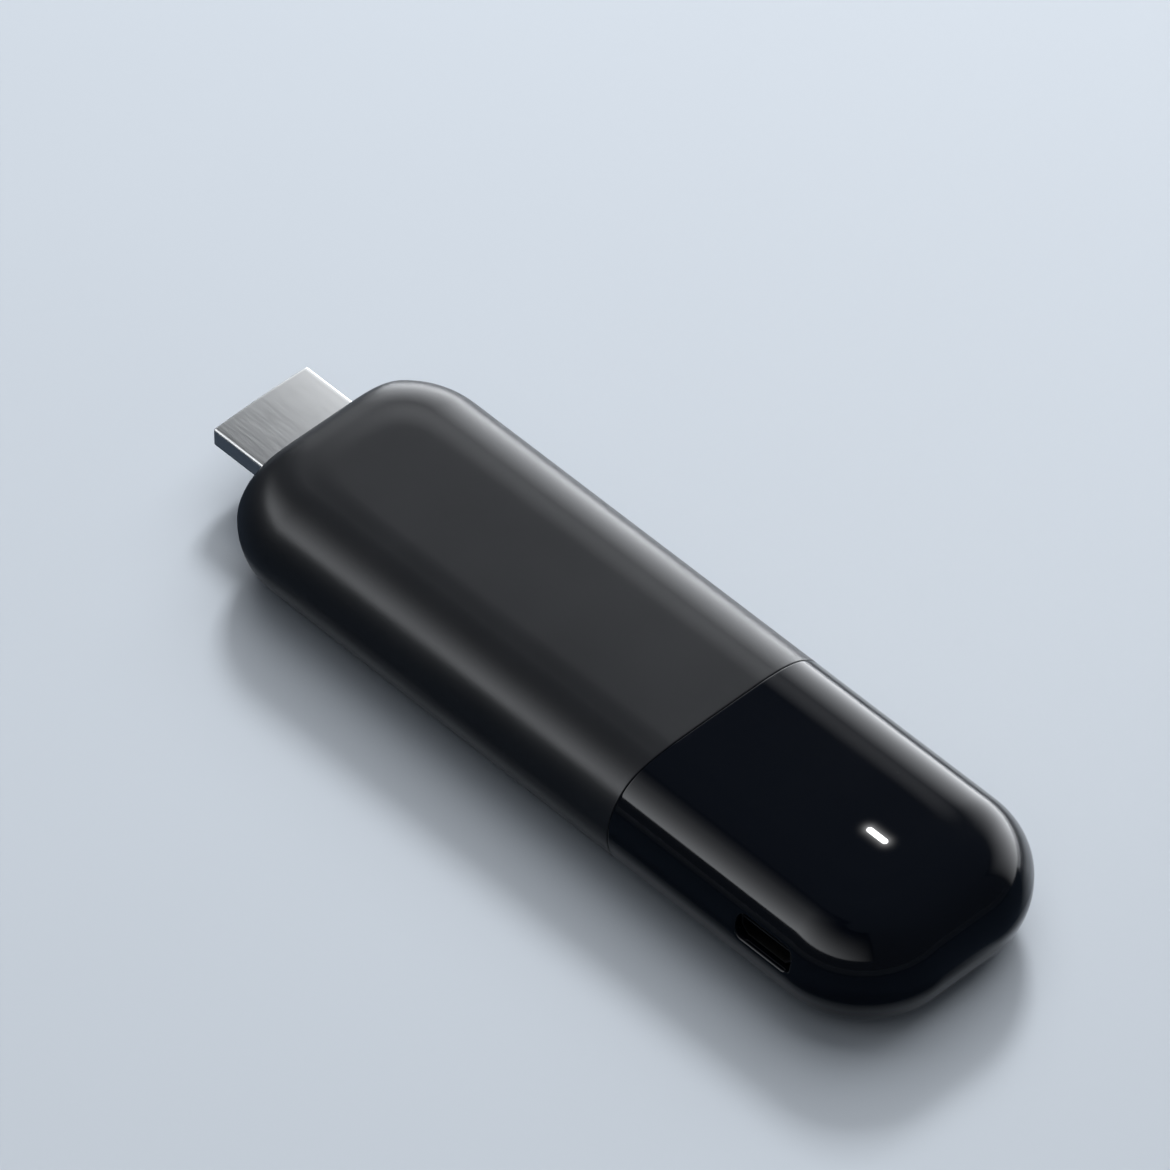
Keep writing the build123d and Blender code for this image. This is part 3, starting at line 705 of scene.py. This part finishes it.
def place(tree, kind, inputs=(), **settings):
    """Adds a node with its settings and inputs."""
    node = tree.nodes.new(kind)
    for key, value in settings.items():
        setattr(node, key, value)
    return feed(tree, node, dict(inputs))


def new_group(name, inputs, outputs):
    """Shader node group with named number inputs and outputs, and its two end nodes."""
    group = bpy.data.node_groups.new(name, "ShaderNodeTree")
    for label, value in inputs.items():
        socket = group.interface.new_socket(label, in_out="INPUT", socket_type="NodeSocketFloat")
        socket.default_value = value
    for label in outputs:
        group.interface.new_socket(label, in_out="OUTPUT", socket_type="NodeSocketFloat")
    return group, group.nodes.new("NodeGroupInput").outputs, group.nodes.new("NodeGroupOutput")


def maths(tree, operation, *values):
    """Sum on one or two numbers, as a socket."""
    return place(tree, "ShaderNodeMath", enumerate(values), operation=operation).outputs[0]


def vectors(tree, operation, *values, result="Vector"):
    """Sum on one or two vectors, as a socket."""
    node = place(tree, "ShaderNodeVectorMath", enumerate(values), operation=operation)
    return node.outputs[result]


def object_place(tree):
    """Object coordinates, as a socket."""
    return place(tree, "ShaderNodeTexCoord").outputs["Object"]


def noise(tree, vector, scale, detail, roughness=0.5):
    """Soft noise over a vector, as a socket."""
    node = place(tree, "ShaderNodeTexNoise", {"Vector": vector, "Scale": scale, "Detail": detail,
                                              "Roughness": roughness})
    return node.outputs["Fac"]


def spread(tree, value, low, high, to_low=0.0, to_high=1.0):
    """Stretches a value from one range to another, held at the ends, as a socket."""
    node = place(tree, "ShaderNodeMapRange", {"Value": value, "From Min": low, "From Max": high,
                                              "To Min": to_low, "To Max": to_high})
    return node.outputs["Result"]


def moulded_grain():
    """Grain of a moulded surface: fine pits as a height, and slow cloudiness as a tone."""
    group, given, put = new_group("moulded_grain", {"Scale": 4000.0, "Cloud Scale": 90.0},
                                  ["Height", "Tone"])
    here = object_place(group)
    pits = noise(group, here, given["Scale"], 3.0, 0.6)
    cloud = noise(group, here, given["Cloud Scale"], 4.0, 0.6)
    tone = place(group, "ShaderNodeMapRange", {"Value": cloud, "From Min": 0.25, "From Max": 0.75},
                 interpolation_type="SMOOTHSTEP").outputs["Result"]
    feed(group, put, {"Height": pits, "Tone": tone})
    return group


def handled_marks():
    """Traces of handling: slow smudges, and sparse specks of dust."""
    group, given, put = new_group("handled_marks", {"Smudge Scale": 60.0, "Speck Scale": 900.0},
                                  ["Smudge", "Specks"])
    here = object_place(group)
    smudge = spread(group, noise(group, here, given["Smudge Scale"], 5.0, 0.55), 0.4, 0.7)
    cells = place(group, "ShaderNodeTexVoronoi", {"Vector": here, "Scale": given["Speck Scale"],
                                                  "Randomness": 1.0})
    near = spread(group, cells.outputs["Distance"], 0.05, 0.12, 1.0, 0.0)
    few = spread(group, noise(group, here, given["Smudge Scale"], 1.0), 0.55, 0.7)
    feed(group, put, {"Smudge": smudge, "Specks": maths(group, "MULTIPLY", near, few)})
    return group


def rolled_grain():
    """Grain of rolled metal: noise drawn out along the stick."""
    group, given, put = new_group("rolled_grain", {"Scale": 3000.0, "Stretch": 0.04}, ["Height", "Tone"])
    drawn = place(group, "ShaderNodeCombineXYZ", {"X": given["Stretch"], "Y": 1.0, "Z": 1.0}).outputs[0]
    streaks = noise(group, vectors(group, "MULTIPLY", object_place(group), drawn), given["Scale"], 3.0, 0.6)
    feed(group, put, {"Height": streaks, "Tone": spread(group, streaks, 0.35, 0.65)})
    return group


def grouped(tree, maker, **values):
    """Places a shared node group, made the first time it is asked for, and returns its outputs."""
    group = bpy.data.node_groups.get(maker.__name__) or maker()
    node = place(tree, "ShaderNodeGroup", node_tree=group)
    return feed(tree, node, {key.replace("_", " "): value for key, value in values.items()}).outputs


def mixed(tree, share, low, high):
    """Colour between two colours, as a socket."""
    node = place(tree, "ShaderNodeMix", data_type="RGBA")
    feed(tree, node, {0: share, 6: (*low, 1), 7: (*high, 1)})
    return node.outputs[2]


def shade(value, share):
    """A colour made darker or lighter by a share."""
    return tuple(min(part * share, 1.0) for part in value)


def bumped(tree, height, distance):
    """Normal of a surface roughened by a height, as a socket."""
    return place(tree, "ShaderNodeBump", {"Height": height, "Distance": distance}).outputs["Normal"]


def plastic(name, tint, roughness, grain_depth, scale=4000.0, cloud=90.0, gloss=0.5):
    """Moulded plastic: a clouded colour, uneven roughness and a fine grain of a depth in metres."""
    made, tree, shader = new_material(name)
    grain = grouped(tree, moulded_grain, Scale=scale, Cloud_Scale=cloud)
    marks = grouped(tree, handled_marks)
    feed(tree, shader, {
        "Specular IOR Level": gloss,
        "Base Color": mixed(tree, grain["Tone"], shade(tint, 0.93), shade(tint, 1.07)),
        "Roughness": spread(tree, marks["Smudge"], 0, 1, roughness * 0.94, roughness * 1.08),
        "Normal": bumped(tree, grain["Height"], grain_depth),
    })
    return made


def metal(name, tint, roughness, grain_depth, scale=3000.0):
    """Rolled or plated metal: a smudged colour, and streaks along the stick in roughness and height."""
    made, tree, shader = new_material(name)
    grain = grouped(tree, rolled_grain, Scale=scale)
    marks = grouped(tree, handled_marks)
    feed(tree, shader, {
        "Metallic": 1.0,
        "Base Color": mixed(tree, marks["Smudge"], shade(tint, 0.96), shade(tint, 1.03)),
        "Roughness": spread(tree, grain["Tone"], 0, 1, roughness * 0.85, roughness * 1.15),
        "Normal": bumped(tree, grain["Height"], grain_depth),
    })
    return made


def glow_round(tree, centre, half_length, reach, power):
    """Painted glow round the status light, given as emission on the cap's surface: it falls as a power of
    the distance from the light's middle line, as a socket."""
    parts = place(tree, "ShaderNodeSeparateXYZ", {0: vectors(tree, "SUBTRACT", object_place(tree), centre)})
    x, y, z = parts.outputs
    past = maths(tree, "MAXIMUM", maths(tree, "SUBTRACT", maths(tree, "ABSOLUTE", x), half_length), 0.0)
    flat = place(tree, "ShaderNodeCombineXYZ", {"X": past, "Y": y, "Z": z}).outputs[0]
    distance = vectors(tree, "LENGTH", flat, result="Value")
    return maths(tree, "POWER", spread(tree, distance, 0, reach, 1, 0), power)


def gloss_material(colours, openings):
    """Gloss black cap: a deep colour under a smooth skin with faint smudges, and a painted glow round the
    status light's window, which the cap's surface emits."""
    made, tree, shader = new_material("gloss_black")
    grain = grouped(tree, moulded_grain, Scale=700.0, Cloud_Scale=60.0)
    marks = grouped(tree, handled_marks, Smudge_Scale=70.0, Speck_Scale=1100.0)
    low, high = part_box("light_guide")
    centre = ((low.x + high.x) / 2, 0.0, high.z)
    half_length = (openings.light_length - openings.light_width) / 2
    # Painted glow: the cap's surface emits the status light's colour round its window, fading with
    # distance.
    glow = glow_round(tree, centre, half_length, reach=0.0026, power=6.0)
    feed(tree, shader, {
        "Base Color": mixed(tree, marks["Specks"], colours.cap, shade(colours.cap, 2.2)),
        "Roughness": spread(tree, marks["Smudge"], 0, 1, 0.075, 0.11),
        "Normal": bumped(tree, grain["Height"], 8e-7),
        "Emission Color": mixed(tree, glow, (0, 0, 0), colours.light),
        "Emission Strength": 0.6,
    })
    return made


def light_material(colours):
    """Status light: clear plastic that is lit from below, faintly clouded."""
    made, tree, shader = new_material("lit_window")
    grain = grouped(tree, moulded_grain, Scale=2000.0, Cloud_Scale=1200.0)
    feed(tree, shader, {
        "Base Color": mixed(tree, grain["Tone"], (0.72, 0.74, 0.76), (0.8, 0.81, 0.82)),
        "Emission Color": mixed(tree, grain["Tone"], shade(colours.light, 0.94), colours.light),
        "Emission Strength": 1.6,
        "Roughness": 0.3,
    })
    return made


def board_material(colours):
    """Circuit board: solder mask over copper tracks, which show as a slightly raised, lighter net."""
    made, tree, shader = new_material("circuit_board")
    tracks = place(tree, "ShaderNodeTexBrick", {"Vector": object_place(tree), "Scale": 500.0,
                                                "Mortar Size": 0.04, "Brick Width": 1.7,
                                                "Row Height": 0.45}).outputs["Fac"]
    marks = grouped(tree, handled_marks)
    feed(tree, shader, {
        "Base Color": mixed(tree, tracks, colours.board, shade(colours.board, 1.9)),
        "Roughness": spread(tree, marks["Smudge"], 0, 1, 0.28, 0.36),
        "Normal": bumped(tree, tracks, 2e-5),
    })
    return made


def floor_material(stage):
    """Pale floor with a faint unevenness, too slow to read as a pattern."""
    made, tree, shader = new_material("pale_floor")
    grain = grouped(tree, moulded_grain, Scale=1500.0, Cloud_Scale=3.0)
    feed(tree, shader, {
        "Base Color": mixed(tree, grain["Tone"], shade(stage.floor, 0.985), shade(stage.floor, 1.015)),
        "Roughness": spread(tree, grain["Tone"], 0, 1, 0.2, 0.23),
        "Specular IOR Level": 0.4,
    })
    return made


def turned(tree, turn):
    """Place on the stage seen from the middle towards a turn: how far in front, and how far to the
    left, as two sockets."""
    here = object_place(tree)
    a = math.radians(turn)
    return [vectors(tree, "DOT_PRODUCT", here, way, result="Value")
            for way in ((math.cos(a), math.sin(a), 0), (-math.sin(a), math.cos(a), 0))]


def window_material(name, strength, radius, turns, fades, rises, power):
    """Lit window: full brightness at its lower edge, fading as a power of the angle above the horizon,
    and fading over some degrees at its two ends."""
    made = bpy.data.materials.new(name)
    made.use_nodes = True
    tree = made.node_tree
    tree.nodes.clear()
    half = (turns[1] - turns[0]) / 2
    front, left = turned(tree, turns[0] + half)
    turn = maths(tree, "ARCTAN2", left, front)
    right_end = spread(tree, turn, math.radians(-half), math.radians(fades[0] - half))
    left_end = spread(tree, turn, math.radians(half - fades[1]), math.radians(half), 1, 0)
    height = place(tree, "ShaderNodeSeparateXYZ", {0: object_place(tree)}).outputs["Z"]
    rise = maths(tree, "ARCTAN2", height, radius)
    fall = spread(tree, rise, math.radians(rises[0]), math.radians(rises[1]), 1, 0)
    glow = maths(tree, "POWER", fall, power)
    for share in (right_end, left_end, strength):
        glow = maths(tree, "MULTIPLY", glow, share)
    light = place(tree, "ShaderNodeEmission", {"Color": (0.93, 0.96, 1.0, 1), "Strength": glow})
    end = place(tree, "ShaderNodeOutputMaterial")
    tree.links.new(light.outputs[0], end.inputs["Surface"])
    return made


def card_material(half_long, half_wide, corner):
    """Black card seen from above, clear from below. Its mask follows the distance from the stick's
    rounded outline: on the near side the card starts close by, and past the far side it is a paler strip
    further off. A slanting line past the plug end parts the two there."""
    made, tree, shader = new_material("black_card")
    near_start = (corner + 0.0012, corner + 0.0052)
    strip_start = (corner + 0.02, corner + 0.04)
    strip_end = (corner + 0.08, corner + 0.11)
    strip_darkness = 0.75
    side_blend = (half_wide - 0.006, half_wide + 0.006)
    slant = (-0.94, 0.34, 0)
    edge = slant[0] * half_long + slant[1] * half_wide
    slant_blend = (edge - 0.004, edge + 0.006)
    here = object_place(tree)
    core = (half_long - corner, half_wide - corner, 0)
    past = vectors(tree, "SUBTRACT", vectors(tree, "ABSOLUTE", here), core)
    away = vectors(tree, "LENGTH", vectors(tree, "MAXIMUM", past, (0, 0, 0)), result="Value")
    close = spread(tree, away, *near_start)
    strip = maths(tree, "MULTIPLY", spread(tree, away, *strip_start, 0, strip_darkness),
                  spread(tree, away, *strip_end, 1, 0))
    past_side = spread(tree, place(tree, "ShaderNodeSeparateXYZ", {0: here}).outputs["Y"], *side_blend)
    before_end = spread(tree, vectors(tree, "DOT_PRODUCT", here, slant, result="Value"), *slant_blend)
    mask = place(tree, "ShaderNodeMix", data_type="FLOAT")
    feed(tree, mask, {0: maths(tree, "MULTIPLY", past_side, before_end), 2: close, 3: strip})
    above = maths(tree, "SUBTRACT", 1.0, place(tree, "ShaderNodeNewGeometry").outputs["Backfacing"])
    feed(tree, shader, {
        "Base Color": (0.036, 0.05, 0.072, 1),
        "Specular IOR Level": 0.0,
        "Alpha": maths(tree, "MULTIPLY", mask.outputs[0], above),
    })
    return made


def paint(names, finish):
    """Gives nodes of the frame one material."""
    for name in names:
        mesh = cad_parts[name].data
        mesh.materials.clear()
        mesh.materials.append(finish)


# Operators

class STICK_OT_sleeve(bpy.types.Operator):
    """Make the matte sleeve"""

    bl_idname = "stick.sleeve"
    bl_label = "Sleeve"

    def execute(self, context):
        scene = context.scene
        finish = plastic("matte_charcoal", scene.stick_finish.sleeve, 0.315, 4e-6, gloss=0.66)
        form = CasingForm(scene.stick_casing)
        sheets = sleeve_sheets(form, PlugForm(scene.stick_plug))
        dress(sheets, "matte_sleeve", finish, "sleeve", form)
        return {"FINISHED"}


class STICK_OT_cap(bpy.types.Operator):
    """Make the gloss end cap"""

    bl_idname = "stick.cap"
    bl_label = "End cap"

    def execute(self, context):
        scene = context.scene
        finish = gloss_material(scene.stick_finish, scene.stick_openings)
        form = CasingForm(scene.stick_casing)
        sheets = cap_sheets(form, scene.stick_openings)
        dress(sheets, "gloss_cap", finish, "end_cap", form)
        return {"FINISHED"}


class STICK_OT_plug(bpy.types.Operator):
    """Make the video plug's metal skin and finish what is inside it"""

    bl_idname = "stick.plug"
    bl_label = "Video plug"

    def execute(self, context):
        colours = context.scene.stick_finish
        nickel = metal("satin_nickel", colours.metal, 0.36, 2e-7, 6000.0)
        sheets = plug_sheets(PlugForm(context.scene.stick_plug))
        dress(sheets, "plug_skin", nickel, "plug_shell")
        paint(["plug_core", "plug_collar"], plastic("black_insulator", colours.inner, 0.4, 3e-6))
        paint(["plug_upper_contacts", "plug_lower_contacts"],
              metal("gold_plating", colours.gold, 0.22, 1e-6))
        return {"FINISHED"}


class STICK_OT_light(bpy.types.Operator):
    """Make the status light's window and finish what is under it"""

    bl_idname = "stick.light"
    bl_label = "Status light"

    def execute(self, context):
        colours = context.scene.stick_finish
        sheets = light_sheets(context.scene.stick_openings)
        dress(sheets, "status_window", light_material(colours), "light_guide")
        paint(["status_lamp"], plastic("lamp_white", (0.75, 0.74, 0.68), 0.35, 2e-6))
        paint(["light_baffle"], plastic("baffle_black", colours.inner, 0.6, 4e-6))
        return {"FINISHED"}


class STICK_OT_port(bpy.types.Operator):
    """Finish the power socket"""

    bl_idname = "stick.port"
    bl_label = "Power socket"

    def execute(self, context):
        colours = context.scene.stick_finish
        paint(["power_port_shell"], metal("socket_steel", (0.06, 0.06, 0.062), 0.36, 3e-7))
        paint(["power_port_core"], plastic("socket_insulator", colours.inner, 0.42, 3e-6))
        paint(["power_port_contacts"], metal("socket_gold", colours.gold, 0.24, 1e-6))
        return {"FINISHED"}


class STICK_OT_inside(bpy.types.Operator):
    """Finish the board, its parts and the pieces that carry them"""

    bl_idname = "stick.inside"
    bl_label = "Inside"

    def execute(self, context):
        colours = context.scene.stick_finish
        paint(["main_board", "wireless_module"], board_material(colours))
        paint(["board_tray", "antenna_carrier"], plastic("tray_plastic", colours.inner, 0.5, 6e-6))
        paint(["system_chip", "memory_chips", "storage_chip", "surge_chips", "power_chip", "resistors"],
              plastic("chip_resin", (0.016, 0.016, 0.017), 0.55, 5e-6, 9000.0, 400.0))
        paint(["power_inductors"], plastic("ferrite", (0.035, 0.034, 0.033), 0.5, 1e-5, 6000.0, 500.0))
        paint(["upper_shield_frame", "upper_shield_lid", "lower_shield_frame", "lower_shield_lid",
               "wireless_shield", "crystal"], metal("tinned_steel", (0.66, 0.66, 0.64), 0.3, 2e-6))
        paint(["upper_capacitors", "lower_capacitors"],
              plastic("ceramic", (0.30, 0.19, 0.10), 0.45, 4e-6, 9000.0, 900.0))
        paint(["chip_pad", "upper_thermal_pad", "lower_thermal_pad"],
              plastic("heat_pad", (0.33, 0.37, 0.42), 0.7, 2e-5, 2500.0, 300.0))
        paint(["upper_heat_spreader", "lower_heat_spreader"],
              metal("rolled_aluminium", (0.80, 0.81, 0.82), 0.35, 3e-6))
        paint(["board_screws"], metal("screw_steel", (0.45, 0.45, 0.46), 0.28, 1e-6))
        paint(["antennas", "antenna_springs"], metal("antenna_gold", colours.gold, 0.3, 1e-6))
        return {"FINISHED"}


def stage_mesh(name, grid, finish):
    """Surface of the stage from a grid of points."""
    sheets = Sheets()
    sheets.add(grid)
    mesh = bpy.data.meshes.new(name)
    mesh.from_pydata(sheets.points[0].tolist(), [], sheets.faces[0].tolist())
    mesh.shade_smooth()
    mesh.materials.append(finish)
    made = new_object(name, mesh)
    return made


def add_floor(stage):
    """Round floor that rises in a curve to a low wall far from the stick: rings about the middle, whose
    height stays nought and then follows a quarter circle."""
    radius = 3.0
    rise = 0.5
    flat_rings = 30
    bend_rings = 12
    run = np.concatenate([np.linspace(0, 1, flat_rings), np.ones(bend_rings)]) * (radius - rise)
    bend = np.concatenate([np.zeros(flat_rings), np.linspace(0, np.pi / 2, bend_rings + 1)[1:]])[:, None]
    turn = np.linspace(0, 2 * np.pi, FLOOR_STEPS + 1)
    reach = run[:, None] + rise * np.sin(bend)
    stage_mesh("floor", grid_of(reach * np.cos(turn), reach * np.sin(turn), rise * (1 - np.cos(bend))),
               floor_material(stage))


def only_in_gloss(piece):
    """Hides a piece of the stage from everything but the stick's gloss."""
    piece.visible_camera = False
    piece.visible_diffuse = False
    piece.visible_shadow = False


def add_window(name, strength, turns, fades, rises, power):
    """Curved window that shines in the stick's gloss: part of an upright cylinder about it, between two
    turns and two angles above the horizon, all in degrees."""
    radius = 1.2
    turn = np.radians(np.linspace(*turns, WINDOW_STEPS[0] + 1))
    z_low, z_high = (radius * math.tan(math.radians(rise)) for rise in rises)
    z = np.linspace(z_low, z_high, WINDOW_STEPS[1] + 1)[:, None]
    only_in_gloss(stage_mesh(name, grid_of(radius * np.cos(turn), radius * np.sin(turn), z),
                             window_material(name, strength, radius, turns, fades, rises, power)))


def add_card(casing):
    """Black card that only the gloss sees: it keeps the bright floor out of the stick's near side and
    ends. A flat grid just over the floor."""
    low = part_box("sleeve")[0]
    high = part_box("end_cap")[1]
    half_size = 2.4
    lift = 0.0002
    reach = np.linspace(-half_size, half_size, CARD_STEPS + 1)
    finish = card_material((high.x - low.x) / 2, high.y, casing.flat_corner + casing.side_round)
    card = stage_mesh("black_card", grid_of(reach, reach[:, None], 0.0), finish)
    card.location = ((low.x + high.x) / 2, 0, lift)
    only_in_gloss(card)


def aim(piece, place_at, way):
    """Puts a lamp or the camera in its place and turns it to look along a way."""
    piece.location = place_at
    piece.rotation_mode = "QUATERNION"
    piece.rotation_quaternion = way.to_track_quat("-Z", "Y")


def add_lamp(name, power, size, place_at):
    """Broad square lamp that faces the stick and doesn't show in its gloss."""
    data = bpy.data.lights.new(name, "AREA")
    data.energy = power
    data.size = size
    lamp = new_object(name, data)
    aim(lamp, place_at, -Vector(place_at))
    lamp.visible_camera = False
    lamp.visible_glossy = False


def add_camera(stage):
    """Camera on the line that the stage's angles give, moved aside and up in its own plane."""
    a = stage.azimuth
    e = stage.elevation
    back = Vector((math.sin(a) * math.cos(e), -math.cos(a) * math.cos(e), math.sin(e)))
    right = Vector((math.cos(a), math.sin(a), 0))
    data = bpy.data.cameras.new("camera")
    data.lens = stage.lens
    data.sensor_width = 36.0
    camera = new_object("camera", data)
    aim(camera, back * stage.distance + right * stage.aside + back.cross(right) * stage.above, -back)
    bpy.context.scene.camera = camera


class STICK_OT_stage(bpy.types.Operator):
    """Set the floor, the windows, the card, the lamps and the camera"""

    bl_idname = "stick.stage"
    bl_label = "Stage"

    def execute(self, context):
        stage = context.scene.stick_stage
        add_floor(stage)
        add_window("far_window", stage.far_window, turns=(50, 150), fades=(45, 8), rises=(0, 46), power=1.2)
        add_window("near_window", stage.near_window, turns=(174, 327), fades=(34, 87), rises=(25.5, 80),
                   power=2.0)
        add_card(context.scene.stick_casing)
        add_lamp("broad_lamp", stage.broad_lamp, size=1.4, place_at=(-0.2, 0.48, 0.95))
        add_lamp("main_lamp", stage.main_lamp, size=0.18, place_at=(-0.42, 0.53, 0.6))
        add_lamp("fill_lamp", stage.fill_lamp, size=0.8, place_at=(0.4, -0.45, 0.95))
        world = bpy.data.worlds.new("room")
        world.use_nodes = True
        world.node_tree.nodes["Background"].inputs["Color"].default_value = (*stage.room, 1)
        context.scene.world = world
        add_camera(stage)
        return {"FINISHED"}


class STICK_PT_panel(bpy.types.Panel):
    """Steps and sizes of the streaming stick"""

    bl_idname = "STICK_PT_panel"
    bl_label = "Streaming stick"
    bl_space_type = "VIEW_3D"
    bl_region_type = "UI"
    bl_category = "Stick"

    def draw(self, context):
        for step in STEPS:
            self.layout.operator(step.bl_idname)
        for name in SETTINGS:
            box = self.layout.box()
            settings = getattr(context.scene, name)
            for key in settings.__annotations__:
                box.prop(settings, key)


STEPS = (STICK_OT_sleeve, STICK_OT_cap, STICK_OT_plug, STICK_OT_light, STICK_OT_port, STICK_OT_inside,
         STICK_OT_stage)
SETTINGS = {"stick_casing": CasingSizes, "stick_plug": PlugSizes, "stick_openings": OpeningSizes,
            "stick_finish": FinishColours, "stick_stage": StageSizes}


def register():
    """Registers the classes and hangs the settings on the scene."""
    for kind in (*SETTINGS.values(), *STEPS, STICK_PT_panel):
        bpy.utils.register_class(kind)
    for name, kind in SETTINGS.items():
        setattr(bpy.types.Scene, name, PointerProperty(type=kind))


def unregister():
    """Takes away the settings and the classes."""
    for name in SETTINGS:
        delattr(bpy.types.Scene, name)
    for kind in (STICK_PT_panel, *STEPS, *SETTINGS.values()):
        bpy.utils.unregister_class(kind)


def main():
    """Builds the stick and its stage."""
    register()
    bpy.ops.stick.sleeve()
    bpy.ops.stick.cap()
    bpy.ops.stick.plug()
    bpy.ops.stick.light()
    bpy.ops.stick.port()
    bpy.ops.stick.inside()
    bpy.ops.stick.stage()
    bpy.context.scene.view_settings.view_transform = "Standard"


if __name__ == "__main__":
    main()
